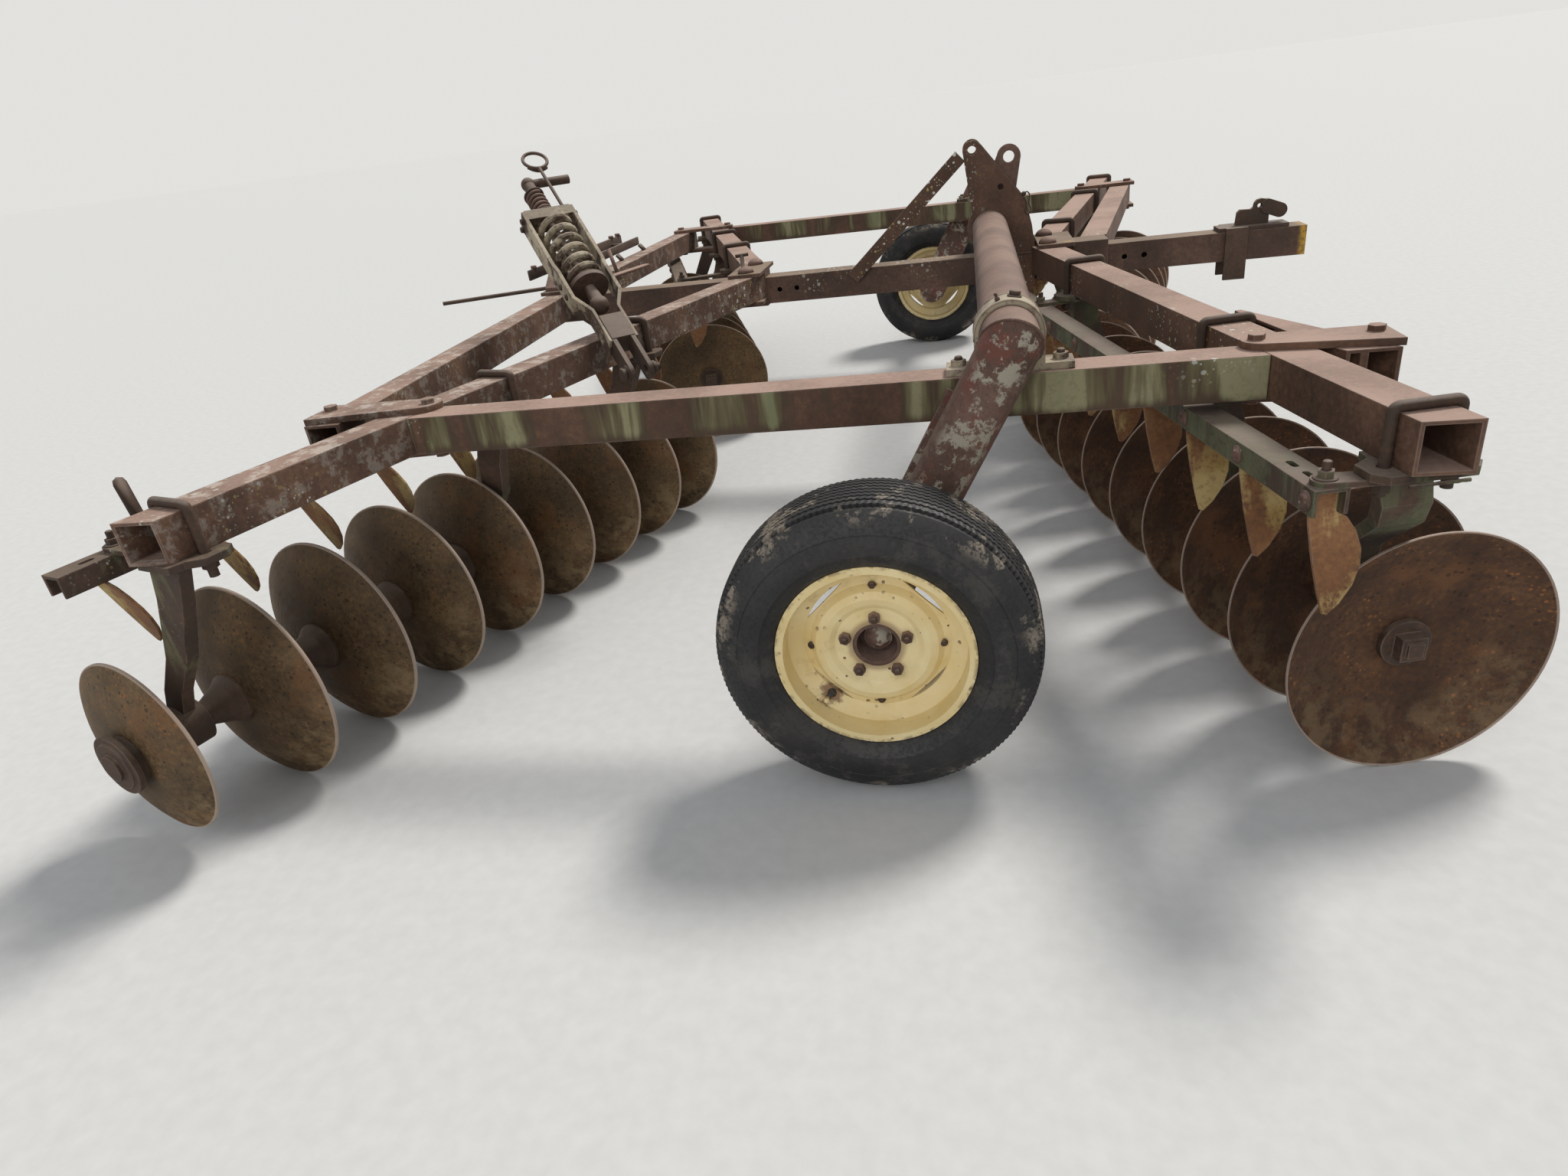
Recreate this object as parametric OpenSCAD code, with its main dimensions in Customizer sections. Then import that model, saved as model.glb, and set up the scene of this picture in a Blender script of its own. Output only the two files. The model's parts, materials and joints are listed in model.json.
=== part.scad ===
// Tandem disc harrow with lift wheels, modelled full size in millimetres.
// +X is forward, +Y is the machine's left, +Z is up, and the ground is at z = 0.
// Lengths along the machine are measured from the lift-wheel axle, which is 0,
// and the whole model is then moved so that its length is centred on the origin.

/* [Main frame] */
// Height of the middle of the rails, cross tubes and gang beams
frame_z = 688; // [600:1:760]
// Side of the square tube of the rails, cross tubes and gang beams
tube = 84; // [70:1:100]
// Wall of that tube
tube_wall = 6; // [4:0.5:9]
// Distance from the centreline to the middle of each side rail
rail_y = 1598; // [1500:1:1700]
// Middle of the front gang beams where they pass the rails, ahead of the axle
front_beam_x = 770; // [740:1:800]
// Middle of the rear gang beams where they pass the rails, behind the axle
rear_beam_x = 1064; // [1020:1:1100]
// Side of the square centre tube
centre_size = 90; // [80:1:96]
// Wall of the centre tube
centre_wall = 8; // [5:0.5:12]
// Height of the middle of the centre tube
centre_z = 667; // [655:1:680]
// Open front end of the centre tube, ahead of the axle
centre_front = 1254; // [1150:1:1350]
// Where the rear cross tubes meet the centre tube, behind the axle
rear_joint_x = 1288; // [1200:1:1340]
// Where the front cross tubes meet the centre tube, ahead of the axle
front_joint_x = 600; // [585:1:640]
// Outer end of the front cross tubes, ahead of the axle
front_corner_x = 915; // [900:1:960]
// Outer end of the rear cross tubes, behind the axle
rear_corner_x = 1240; // [1220:1:1300]
// Thickness of the corner plates
corner_plate = 14; // [8:1:20]
// Thickness of the plates on the sliding sleeves
sleeve_plate = 12; // [8:1:20]
// Length of each sliding sleeve and of the plates on it
sleeve_len = 116; // [100:1:120]
// Radius of the angle-setting holes in the centre tube
set_hole_r = 9; // [6:0.5:12]
// Distance between neighbouring angle-setting holes
set_hole_pitch = 62; // [50:1:80]

/* [Gangs] */
// Angle of the front gangs to the line across the machine
front_angle = 12; // [8:0.5:16]
// Angle of the rear gangs to the line across the machine
rear_angle = 18; // [14:0.5:20]
// Distance from one disc to the next
disc_pitch = 228.6; // [200:0.1:240]
// Radius of the discs
disc_r = 239; // [220:1:250]
// Radius of the small disc at the outer end of a rear gang
end_disc_r = 197; // [170:1:215]
// Thickness of the discs
disc_t = 5; // [4:0.5:8]
// Depth of a full disc's dish
dish = 58; // [40:1:70]
// Radius of the flat middle of a disc
disc_flat_r = 66; // [60:1:75]
// Side of the square gang axle
axle_sq = 28.6; // [25:0.1:32]
// Radius of a spool's wide end
bell_r = 58; // [50:1:60]
// Radius of a spool's neck, which is its bearing journal
neck_r = 30; // [26:0.5:36]
// Radius of a spool's narrow end
foot_r = 42; // [38:1:50]
// Outer rim of the front gangs, from the centreline
front_end_y = 1903; // [1850:1:1950]
// Outer rim of the rear gangs, from the centreline
rear_end_y = 2153; // [2100:1:2200]

/* [Beams, standards and scrapers] */
// Outer end of the front gang beams, from the centreline
front_beam_y = 2062; // [2000:1:2110]
// Outer end of the rear gang beams, from the centreline
rear_beam_y = 2192; // [2150:1:2240]
// Thickness of the plate on top of a standard
standard_plate = 14; // [10:1:20]
// Thickness of a standard's leg along the gang
leg_t = 26; // [18:1:34]
// Radius of a standard's bearing housing
housing_r = 50; // [44:1:56]
// Width of a standard's bearing housing
housing_w = 56; // [40:1:80]
// Running clearance around a journal
journal_gap = 0.4; // [0.3:0.1:1]
// Diameter of the U-bolts
ubolt_d = 18; // [14:1:20]
// Width of the scraper bars
bar_w = 56; // [45:1:65]
// Height of the scraper bars
bar_h = 44; // [36:1:50]
// Wall of the scraper bars
bar_wall = 6; // [4:0.5:8]
// Thickness of the arms that carry the scraper bars
bar_arm_t = 10; // [6:1:14]
// Thickness of the scraper blades
blade_t = 6; // [4:0.5:8]
// Furthest that a blade's curved edge stands forward of its bar's middle
leaf_bulge = 62; // [50:1:70]
// Length of a blade's leaf below its bar
leaf_len = 172; // [150:1:180]

/* [Lift] */
// Radius of the rockshaft
shaft_r = 57; // [50:1:60]
// Rockshaft, ahead of the wheel axle
shaft_x = 266; // [240:1:290]
// Height of the rockshaft
shaft_z = 802; // [795:1:820]
// Width of the flat bar on the inner side of a wheel arm
arm_bar_w = 128; // [110:1:140]
// Thickness of that flat bar
arm_bar_t = 10; // [6:1:14]
// Width of the straps that hold the rockshaft on the rails
strap_w = 62; // [50:1:80]
// Thickness of those straps
strap_t = 10; // [8:1:14]
// Thickness of the mast plates
mast_t = 12; // [8:1:16]
// Radius of the lever's eye
eye_r = 18; // [14:0.5:22]
// Height of the lever's eye above the rockshaft's axis
eye_up = 210; // [180:1:230]
// Lever's eye ahead of the rockshaft's axis
eye_fwd = 66; // [40:1:90]
// Thickness of the lever
lever_t = 22; // [14:1:30]

/* [Wheels] */
// Outer radius of the tyres, which is the height of the axle
tyre_r = 310.5; // [295:0.5:325]
// Width of the tyres
tyre_w = 194; // [170:1:210]
// Middle of each tyre, from the centreline
wheel_y = 1922; // [1900:1:1945]
// Radius of the rim's flange
flange_r = 189; // [180:1:196]
// Height of the rim's flange above the tyre's seat
flange_h = 13; // [9:0.5:18]
// Thickness of the rim's sheet
rim_t = 5; // [3:0.5:7]
// Radius of the wheel bolt circle
lug_circle_r = 62; // [55:0.5:70]
// Radius of the spindles
spindle_r = 19; // [16:0.5:22]
// Radius of the hub's open end, over which the wheel fits
pilot_r = 46; // [42:0.5:48]
// Radius of the spindle's end nut
spindle_nut_r = 27; // [22:0.5:30]

/* [Spring leveller] */
// Distance from the clevis hole to the crank
leveller_len = 798; // [760:1:840]
// Mean radius of the large spring
spring_r = 47; // [38:1:50]
// Wire diameter of the large spring
spring_wire = 20; // [10:1:22]
// Turns of the large spring
spring_turns = 6; // [4:0.5:8]

/* [Hidden] */
$fn = 64;

RIGHT = 1;
LEFT = -1;
FRONT = 0;
REAR = 1;
count = 9;
seat_gap = 0.3;
half = tube / 2;

// One value for the front and one for the rear
angle = [front_angle, -rear_angle];
end_y = [front_end_y, rear_end_y];
beam_end_y = [front_beam_y, rear_beam_y];
// The gang beams pass just clear of the rails' slanted ends
rail_out = rail_y + half;
beam_ref = [front_beam_x, -rear_beam_x];
slope = [tan(front_angle), -tan(rear_angle)];
function beam_x(e, y) = beam_ref[e] + slope[e] * (y - rail_y);
// Distance from the beam's axis to the gang's axis, forward positive, level with the ground
gang_off = [124, -204];
// Middle of the gang axis: the beam's axis moved by gang_off across itself
gang_mid_y = [for (e = [0, 1]) end_y[e] - (count - 1) / 2 * disc_pitch * cos(angle[e])];
function gang_x(e, y) = beam_x(e, y) + gang_off[e] / cos(angle[e]);
gang_z = disc_r;
gang_half = (count - 1) / 2 * disc_pitch;
// Hubs lie on the convex side of the rims: inward at the front, outward at the rear
hub_shift = [-dish, dish];
// Along-gang places of the bearings, counted in discs from the outer end
bearing_at = [[0, 2, 6], [0, 4, 6]];
// Sideways set of each standard's top from its bearing, outward positive
standard_set = [[205, 8, 0], [0, 60, -60]];

// Scraper bars behind the beam's axis, and how far they run past the outer and inner rims
bar_off = [-130, -254];
bar_out = [82, 30];
bar_in = [20, 70];
bar_z = frame_z - half - 2 * seat_gap - standard_plate - bar_arm_t;
axle_z = tyre_r;
// The rear rod reaches furthest back
rod_r = 7;
rod_len = 420;
rod_turn = 20;
rod_x = rear_joint_x + 20;
rear_most = rod_x + rod_len * cos(rod_turn) + rod_r * sin(rod_turn);
mid_x = (centre_front - rear_most) / 2;

module centred() translate([-mid_x, 0, 0]) children();
module on_side(s) { if (s == LEFT) mirror([0, 1, 0]) children(); else children(); }
// Local frame of a right-hand gang: -Y points outward along the gang, +X forward across it
module gang_frame(e, s)
    centred() on_side(s)
        translate([gang_x(e, gang_mid_y[e]), -gang_mid_y[e], 0])
            rotate([0, 0, angle[e]]) children();
// Local frame of a right-hand beam, whose origin is the point beside the gang's middle
module beam_frame(e, s) gang_frame(e, s) translate([-gang_off[e], 0, 0]) children();

module box(size, at) translate(at) translate(-size / 2) cube(size);
module hollow_x(len, size, wall)
    difference() {
        translate([0, -size / 2, -size / 2]) cube([len, size, size]);
        translate([-1, -size / 2 + wall, -size / 2 + wall])
            cube([len + 2, size - 2 * wall, size - 2 * wall]);
    }
module hex_head(r, h) cylinder(r = r, h = h, $fn = 6);
module dome(r, h) intersection() {
    translate([0, 0, h - (r * r + h * h) / (2 * h)]) sphere(r = (r * r + h * h) / (2 * h));
    cylinder(r = r + 1, h = h + 1);
}

// Rails
module rail(s) difference() {
    centred() on_side(s) translate([-rear_beam_x, -rail_y, frame_z])
        hollow_x(rear_beam_x + front_beam_x, tube, tube_wall);
    for (e = [FRONT, REAR]) beam_frame(e, s)
        box([tube + 4, 4000, tube + 20], [0, 0, frame_z]);
}
module rail_right() color("#6b4238") rail(RIGHT);
module rail_left() color("#6b4238") rail(LEFT);

// Centre tube with the angle-setting holes
front_holes_x = 700;
rear_holes_x = -470;
module centre_tube() color("#5f3d34") centred() difference() {
    translate([-rear_joint_x - half, 0, centre_z])
        hollow_x(rear_joint_x + half + centre_front, centre_size, centre_wall);
    for (x = [front_holes_x, front_holes_x + set_hole_pitch, rear_holes_x, rear_holes_x + set_hole_pitch])
        translate([x, 0, centre_z]) rotate([90, 0, 0])
            cylinder(r = set_hole_r, h = centre_size + 2, center = true);
}

// A cross tube runs from the side of the centre tube, or of the box round it, to the corner plates
cross_end_y = rail_out + 8;
joint_wall = 10;
joint_out = centre_size / 2 + seat_gap + joint_wall;
module cross_tube(joint_x, corner_x, in_y, s)
    on_side(s) {
        dx = corner_x - joint_x;
        dy = cross_end_y;
        len = sqrt(dx * dx + dy * dy);
        difference() {
            translate([joint_x, 0, frame_z]) rotate([0, 0, atan2(-dy, dx)])
                hollow_x(len + 60, tube, tube_wall);
            box([400, 2 * in_y, 400], [joint_x, 0, frame_z]);
            box([400, 200, 400], [corner_x, -cross_end_y - 100, frame_z]);
        }
    }
// The right front cross tube is gone. Its corner keeps a slanted stub that ends beside the gang beam's U-bolt
stub_turn = 24;
stub_back = 10;
stub_web_y = 8;
stub_web_t = 12;
module cross_stub() difference() {
    centred() translate([front_corner_x - stub_back, -cross_end_y, frame_z]) rotate([0, 0, 90 + stub_turn])
        translate([-tube, 0, 0]) {
            hollow_x(6 * tube, tube, tube_wall);
            translate([0, stub_web_y, tube_wall - half]) cube([6 * tube, stub_web_t, tube - 2 * tube_wall]);
        }
    centred() box([400, 200, 400], [front_corner_x, -cross_end_y - 100, frame_z]);
    beam_frame(FRONT, RIGHT) box([1000, 4000, tube + 20], [ubolt_leg_x + ubolt_d / 2 + 1 - 500, 0, frame_z]);
}
module front_cross() color("#6b4238") {
    centred() cross_tube(front_joint_x, front_corner_x, joint_out, LEFT);
    cross_stub();
}
module rear_cross() color("#6b4238") centred()
    for (s = [RIGHT, LEFT]) cross_tube(-rear_joint_x, -rear_corner_x, centre_size / 2 + 0.2, s);

// Plates over and under each corner: one end rounded, one end square, with their bolts
corner_w = 112;
corner_head_r = 16;
corner_head_h = 11;
corner_bolt_in = 28;
corner_round = corner_w * 0.36;
// Point where a straight line from p just touches the circle round c
function touch(c, r, p, turn) = let (d = p - c, a = atan2(d[1], d[0]) + turn * acos(r / norm(d)))
    c + r * [cos(a), sin(a)];
module corner_outline(x_round, x_square) {
    dir = sign(x_square - x_round);
    r = corner_round;
    c = [x_round + dir * r, corner_w / 2 - r];
    p = [x_square, corner_w / 2];
    q = [x_square, -corner_w / 2];
    translate(c) circle(r = r);
    polygon([touch(c, r, p, dir), p, q, touch(c, r, q, -dir)]);
}
module corner_set(x_round, x_square, s) on_side(s) {
    dir = sign(x_square - x_round);
    y = -rail_out + corner_w / 2;
    for (z = [frame_z + half, frame_z - half - corner_plate])
        translate([0, y, z]) linear_extrude(corner_plate) corner_outline(x_round, x_square);
    for (x = [x_round + dir * corner_bolt_in, x_square - dir * corner_bolt_in]) {
        translate([x, y + 12, frame_z + half + corner_plate]) hex_head(corner_head_r, corner_head_h);
        translate([x, y + 12, frame_z - half - corner_plate - corner_head_h])
            hex_head(corner_head_r, corner_head_h);
    }
}
module front_corner_plates() color("#74493d") centred()
    for (s = [RIGHT, LEFT]) corner_set(front_beam_x - 74, front_corner_x + half + 2, s);
module rear_corner_plates() color("#74493d") centred()
    for (s = [RIGHT, LEFT]) corner_set(-rear_beam_x + 82, -rear_corner_x - half - 2, s);

// Plate over the rear joint with an upright bolt
module rear_joint_plates() color("#5f3d34") centred() {
    box([120, 190, 12], [-rear_joint_x, 0, frame_z + half + 6]);
    translate([-rear_joint_x - 20, -50, frame_z + half + 12]) hex_head(16, 12);
    translate([-rear_joint_x - 20, 50, frame_z + half + 12]) hex_head(16, 12);
}

// Sliding sleeves and the plates that hold the inner ends of the beams
sleeve_out = centre_size / 2 + 6;
beam_in_y = sleeve_out + 6;
sleeve_low = centre_z - sleeve_out;
beam_bolt_y = beam_in_y + 34;
// The front sleeve's middle lies ahead of its bolts, which keeps it clear of the mast
sleeve_fwd = [26, 0];
module sleeve(e) {
    x0 = beam_x(e, beam_bolt_y);
    from = x0 + sleeve_fwd[e] - sleeve_len / 2;
    difference() {
        union() {
            translate([from, -sleeve_out, sleeve_low])
                cube([sleeve_len, 2 * sleeve_out, frame_z + half - sleeve_low]);
            for (z = [frame_z + half, frame_z - half - sleeve_plate])
                translate([from, -beam_bolt_y - 40, z])
                    cube([sleeve_len, 2 * beam_bolt_y + 80, sleeve_plate]);
        }
        box([sleeve_len + 400, centre_size + 2 * seat_gap, centre_size + 2 * seat_gap],
            [x0, 0, centre_z]);
    }
    for (y = [-beam_bolt_y, beam_bolt_y])
        translate([x0, y, frame_z + half + sleeve_plate]) dome(20, 12);
}
module front_sleeve() color("#6d4a3c") centred() sleeve(FRONT);
module rear_sleeve() color("#6d4a3c") centred() sleeve(REAR);

// Box round the centre tube that carries the front cross tube, just ahead of the front sleeve
joint_from = beam_x(FRONT, beam_bolt_y) + sleeve_fwd[FRONT] + sleeve_len / 2 + 1;
joint_to = front_joint_x + half + 4;
joint_low = centre_z - joint_out;
module front_joint_box() color("#5f3d34") centred() difference() {
    translate([joint_from, -joint_out, joint_low])
        cube([joint_to - joint_from, 2 * joint_out, frame_z + half - joint_low]);
    box([2 * joint_to, centre_size + 2 * seat_gap, centre_size + 2 * seat_gap], [joint_from, 0, centre_z]);
}

// Gang beams
module beam(e, s)
    difference() {
        beam_frame(e, s) translate([0, 0, frame_z]) rotate([0, 0, 90])
            translate([-1500, 0, 0]) hollow_x(3000, tube, tube_wall);
        centred() on_side(s) {
            box([3000, 2000, 200], [0, 1000 - beam_in_y, frame_z]);
            box([3000, 2000, 200], [0, -1000 - beam_end_y[e], frame_z]);
        }
    }
module front_beam_right() color("#6b4238") beam(FRONT, RIGHT);
module front_beam_left() color("#6b4238") beam(FRONT, LEFT);
module rear_beam_right() color("#6b4238") beam(REAR, RIGHT);
module rear_beam_left() color("#6b4238") beam(REAR, LEFT);

// Place along the gang, outward negative, of the bearing after disc i
function bearing_y(e, i) =
    -gang_half + (i + 0.5) * disc_pitch - hub_shift[e];
// A standard's plate reaches past its leg on one side and past its U-bolt on the other
plate_past_leg = 30;
plate_past_bolt = 44;
plate_wide = 168;
plate_narrow = 96;
ubolt_side = [42, -42];
function ubolt_y(e, i) = bearing_y(e, bearing_at[e][i]) - standard_set[e][i] - ubolt_side[e];
ubolt_leg_x = half + ubolt_d / 2 + 1;
leg_top_w = 92;
leg_low_w = 58;
leg_drop = frame_z - half - seat_gap - standard_plate - gang_z;
// Outline under the beam, from the leg at y = 0 to the U-bolt at y = -bolt
module plate_outline(bolt) {
    far = abs(bolt);
    polygon([for (q = [
        [-plate_narrow / 2, -plate_past_leg], [plate_narrow / 2, -plate_past_leg],
        [plate_narrow / 2 + 4, far - plate_past_bolt], [plate_wide / 2, far - plate_past_bolt / 2],
        [plate_wide / 2, far + plate_past_bolt / 2], [plate_wide / 2 - 18, far + plate_past_bolt],
        [-plate_wide / 2 + 18, far + plate_past_bolt], [-plate_wide / 2, far + plate_past_bolt / 2],
        [-plate_wide / 2, far - plate_past_bolt / 2], [-plate_narrow / 2 - 4, far - plate_past_bolt]])
        [q[0], -sign(bolt) * q[1]]]);
}
module standard(e, i) {
    y = bearing_y(e, bearing_at[e][i]);
    set = -standard_set[e][i];
    top = frame_z - half - seat_gap;
    low = gang_z;
    lean = -gang_off[e];
    bolt = ubolt_side[e];
    // Plate under the beam, with the holes of its U-bolt
    difference() {
        translate([lean, y + set, top - standard_plate])
            linear_extrude(standard_plate) plate_outline(bolt);
        for (x = [-ubolt_leg_x, ubolt_leg_x])
            translate([lean + x, y + set - bolt, top - standard_plate - 1])
                cylinder(r = ubolt_d / 2 + 1, h = standard_plate + 2);
    }
    // Leg: its outline across the gang meets its outline along the gang
    difference() {
        union() {
            intersection() {
                translate([0, y + leg_drop, 0]) rotate([90, 0, 0]) linear_extrude(2 * leg_drop)
                    polygon([[lean - leg_top_w / 2, top - standard_plate],
                        [lean + leg_top_w / 2, top - standard_plate],
                        [lean * 0.86 + leg_top_w * 0.44, low + leg_drop * 0.82],
                        [lean * 0.5 + leg_low_w * 0.6, low + leg_drop * 0.46],
                        [lean * 0.16 + leg_low_w * 0.52, low + leg_drop * 0.24],
                        [leg_low_w / 2, low + leg_drop * 0.08], [-leg_low_w / 2, low + leg_drop * 0.08],
                        [lean * 0.16 - leg_low_w * 0.52, low + leg_drop * 0.24],
                        [lean * 0.5 - leg_low_w * 0.6, low + leg_drop * 0.46],
                        [lean * 0.86 - leg_top_w * 0.44, low + leg_drop * 0.82]]);
                translate([-leg_drop, 0, 0]) rotate([90, 0, 90]) linear_extrude(2 * leg_drop)
                    polygon([for (q = [[1, 1, leg_drop], [1, -1, leg_drop], [1, -1, leg_drop * 0.84],
                        [0.86, -1, leg_drop * 0.72], [0.16, -1, leg_drop * 0.44], [0, -1, leg_drop * 0.32],
                        [0, -1, 0], [0, 1, 0], [0, 1, leg_drop * 0.30], [0.16, 1, leg_drop * 0.42],
                        [0.86, 1, leg_drop * 0.70], [1, 1, leg_drop * 0.82]])
                        [y + set * q[0] - q[1] * leg_t / 2, low + q[2]]]);
            }
            translate([0, y + housing_w / 2, gang_z]) rotate([90, 0, 0])
                cylinder(r = housing_r, h = housing_w);
        }
        translate([0, y + housing_w / 2 + 1, gang_z]) rotate([90, 0, 0])
            cylinder(r = neck_r + journal_gap, h = housing_w + 2);
    }
}
module standards(e, s) gang_frame(e, s) for (i = [0 : 2]) standard(e, i);
module front_standards_right() color("#4c5a3a") standards(FRONT, RIGHT);
module front_standards_left() color("#4c5a3a") standards(FRONT, LEFT);
module rear_standards_right() color("#5a4a38") standards(REAR, RIGHT);
module rear_standards_left() color("#5a4a38") standards(REAR, LEFT);

// U-bolt over a beam: origin at the beam's axis, the bend across the beam.
// Its rear nut sits lower by drop where a scraper arm is clamped under the plate
ubolt_nut_r = 15;
ubolt_nut_h = 16;
ubolt_past = 34;
module u_bolt(drop) {
    r = ubolt_d / 2;
    leg_x = ubolt_leg_x;
    bend = r + 1.5;
    top = half + r + seat_gap;
    low = -half - standard_plate - ubolt_past;
    for (m = [0, 1]) mirror([m, 0, 0]) {
        translate([leg_x, 0, low]) cylinder(r = r, h = top - bend - low);
        translate([leg_x, 0, -half - 2 * seat_gap - standard_plate - ubolt_nut_h - m * drop])
            hex_head(ubolt_nut_r, ubolt_nut_h);
        translate([leg_x - bend, 0, top - bend]) rotate([90, 0, 0])
            rotate_extrude(angle = 90) translate([bend, 0]) circle(r = r);
    }
    translate([-(leg_x - bend), 0, top]) rotate([0, 90, 0]) cylinder(r = r, h = 2 * (leg_x - bend));
}
module u_bolts(e) for (s = [RIGHT, LEFT], i = [0 : 2])
    beam_frame(e, s)
        translate([0, ubolt_y(e, i), frame_z]) u_bolt(i == 1 ? 0 : bar_arm_t + seat_gap);
module front_u_bolts() color("#6d5447") u_bolts(FRONT);
module rear_u_bolts() color("#6d5447") u_bolts(REAR);

// Scraper bars hang behind the beams on arms from the standards' plates
slot_len = 30;
slot_w = 12;
slot_at = [60, 112];
arm_flat_w = 44;
arm_front = 30;
arm_bolt_r = 13;
arm_bolt_h = 14;
module scraper_bar(e, s) beam_frame(e, s) {
    x = bar_off[e];
    out = gang_half + bar_out[e];
    len = out + gang_half + bar_in[e];
    difference() {
        translate([x - bar_w / 2, -out, bar_z - bar_h]) cube([bar_w, len, bar_h]);
        translate([x - bar_w / 2 + bar_wall, -out - 1, bar_z - bar_h - 1])
            cube([bar_w - 2 * bar_wall, len + 2, bar_h - bar_wall + 1]);
        // Adjusting slots in the bar's top beside its outer end
        for (y = slot_at) translate([x, y - out, bar_z - bar_wall - 1]) {
            for (d = [0, slot_len - slot_w]) translate([0, d, 0]) cylinder(r = slot_w / 2, h = bar_wall + 2);
            translate([-slot_w / 2, 0, 0]) cube([slot_w, slot_len - slot_w, bar_wall + 2]);
        }
    }
    for (i = [0, 2]) {
        y = ubolt_y(e, i);
        // The front bars' outer arms slant to the bar's end, and the others are straight
        to = e == FRONT && i == 0 ? -out + arm_flat_w / 2 + 2 : y;
        r = arm_flat_w / 2;
        difference() {
            translate([0, 0, bar_z]) linear_extrude(bar_arm_t) {
                translate([x, to]) circle(r = r);
                polygon([[x, to - r], [-arm_front, y - r], [-arm_front, y + r], [x, to + r]]);
            }
            translate([-ubolt_leg_x, y, bar_z - 1]) cylinder(r = ubolt_d / 2 + 1, h = bar_arm_t + 2);
        }
        translate([x, to, bar_z + bar_arm_t]) hex_head(arm_bolt_r, arm_bolt_h);
    }
}
module front_scraper_bar_right() color("#4c5a3a") scraper_bar(FRONT, RIGHT);
module front_scraper_bar_left() color("#4c5a3a") scraper_bar(FRONT, LEFT);
module rear_scraper_bar_right() color("#4b3a30") scraper_bar(REAR, RIGHT);
module rear_scraper_bar_left() color("#4b3a30") scraper_bar(REAR, LEFT);

// A blade is a plate whose stem sits inside its bar and whose leaf leans towards the disc
blade_out = [60, 46];
tip_out = [22, -10];
stem_half = bar_w / 2 - bar_wall - seat_gap;
// Leaf outline: forward of the bar's middle, and down from the bar's underside as a share of its length
leaf = [[stem_half, 0], [stem_half, 0.02], [leaf_bulge * 0.62, 0.08], [leaf_bulge * 0.86, 0.22], [leaf_bulge, 0.40],
    [leaf_bulge * 0.97, 0.56], [leaf_bulge * 0.78, 0.74], [leaf_bulge * 0.45, 0.90], [leaf_bulge * 0.12, 1],
    [0, 0.985], [-stem_half * 0.35, 0.78], [-stem_half * 0.75, 0.45], [-stem_half, 0.12], [-stem_half, 0]];
module blade(e, y) {
    side = e == FRONT ? -1 : 1;
    x = bar_off[e] - gang_off[e];
    low = bar_z - bar_h;
    lean = atan((blade_out[e] - tip_out[e]) / leaf_len);
    translate([x, y + side * blade_out[e] + blade_t / 2, low]) {
        rotate([90, 0, 0]) linear_extrude(blade_t)
            polygon([[-stem_half, -4], [stem_half, -4], [stem_half, bar_h - bar_wall - seat_gap],
                [-stem_half, bar_h - bar_wall - seat_gap]]);
        rotate([90 + side * lean, 0, 0]) linear_extrude(blade_t)
            polygon([for (q = leaf) [q[0], -q[1] * leaf_len]]);
    }
}
module blades(e, s) gang_frame(e, s)
    for (i = [0 : count - 1])
        blade(e, -gang_half + i * disc_pitch);
module front_blades_right() color("#b8973f") blades(FRONT, RIGHT);
module front_blades_left() color("#b8973f") blades(FRONT, LEFT);
module rear_blades_right() color("#8a6a35") blades(REAR, RIGHT);
module rear_blades_left() color("#8a6a35") blades(REAR, LEFT);

// Disc about the Z axis, its rim plane at z = 0 and its flat middle at z = -dish_of(r)
dish_r = ((disc_r - disc_flat_r) * (disc_r - disc_flat_r) + dish * dish) / (2 * dish);
function dish_at(r) = r <= disc_flat_r ? 0 : dish_r - sqrt(dish_r * dish_r - pow(r - disc_flat_r, 2));
module disc(r) {
    steps = 9;
    rs = [for (i = [0 : steps]) disc_flat_r + (r - disc_flat_r) * i / steps];
    difference() {
        translate([0, 0, -dish]) rotate_extrude($fn = 96)
            polygon(concat([[0, 0]], [for (q = rs) [q, dish_at(q)]],
                [for (i = [steps : -1 : 0]) [rs[i], dish_at(rs[i]) - disc_t]], [[0, -disc_t]]));
        box([axle_sq + 1, axle_sq + 1, 40], [0, 0, -dish]);
    }
}
// Hub faces along the gang: the flat middle of disc i, on its concave face
module discs(e, s) gang_frame(e, s)
    for (i = [0 : count - 1]) {
        r = (e == REAR && i == 0) ? end_disc_r : disc_r;
        translate([0, -gang_half + i * disc_pitch, gang_z])
            rotate([e == FRONT ? 90 : -90, 0, 0]) disc(r);
    }
module front_discs_right() color("#4d3428") discs(FRONT, RIGHT);
module front_discs_left() color("#4d3428") discs(FRONT, LEFT);
module rear_discs_right() color("#4d3428") discs(REAR, RIGHT);
module rear_discs_left() color("#4d3428") discs(REAR, LEFT);

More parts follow.
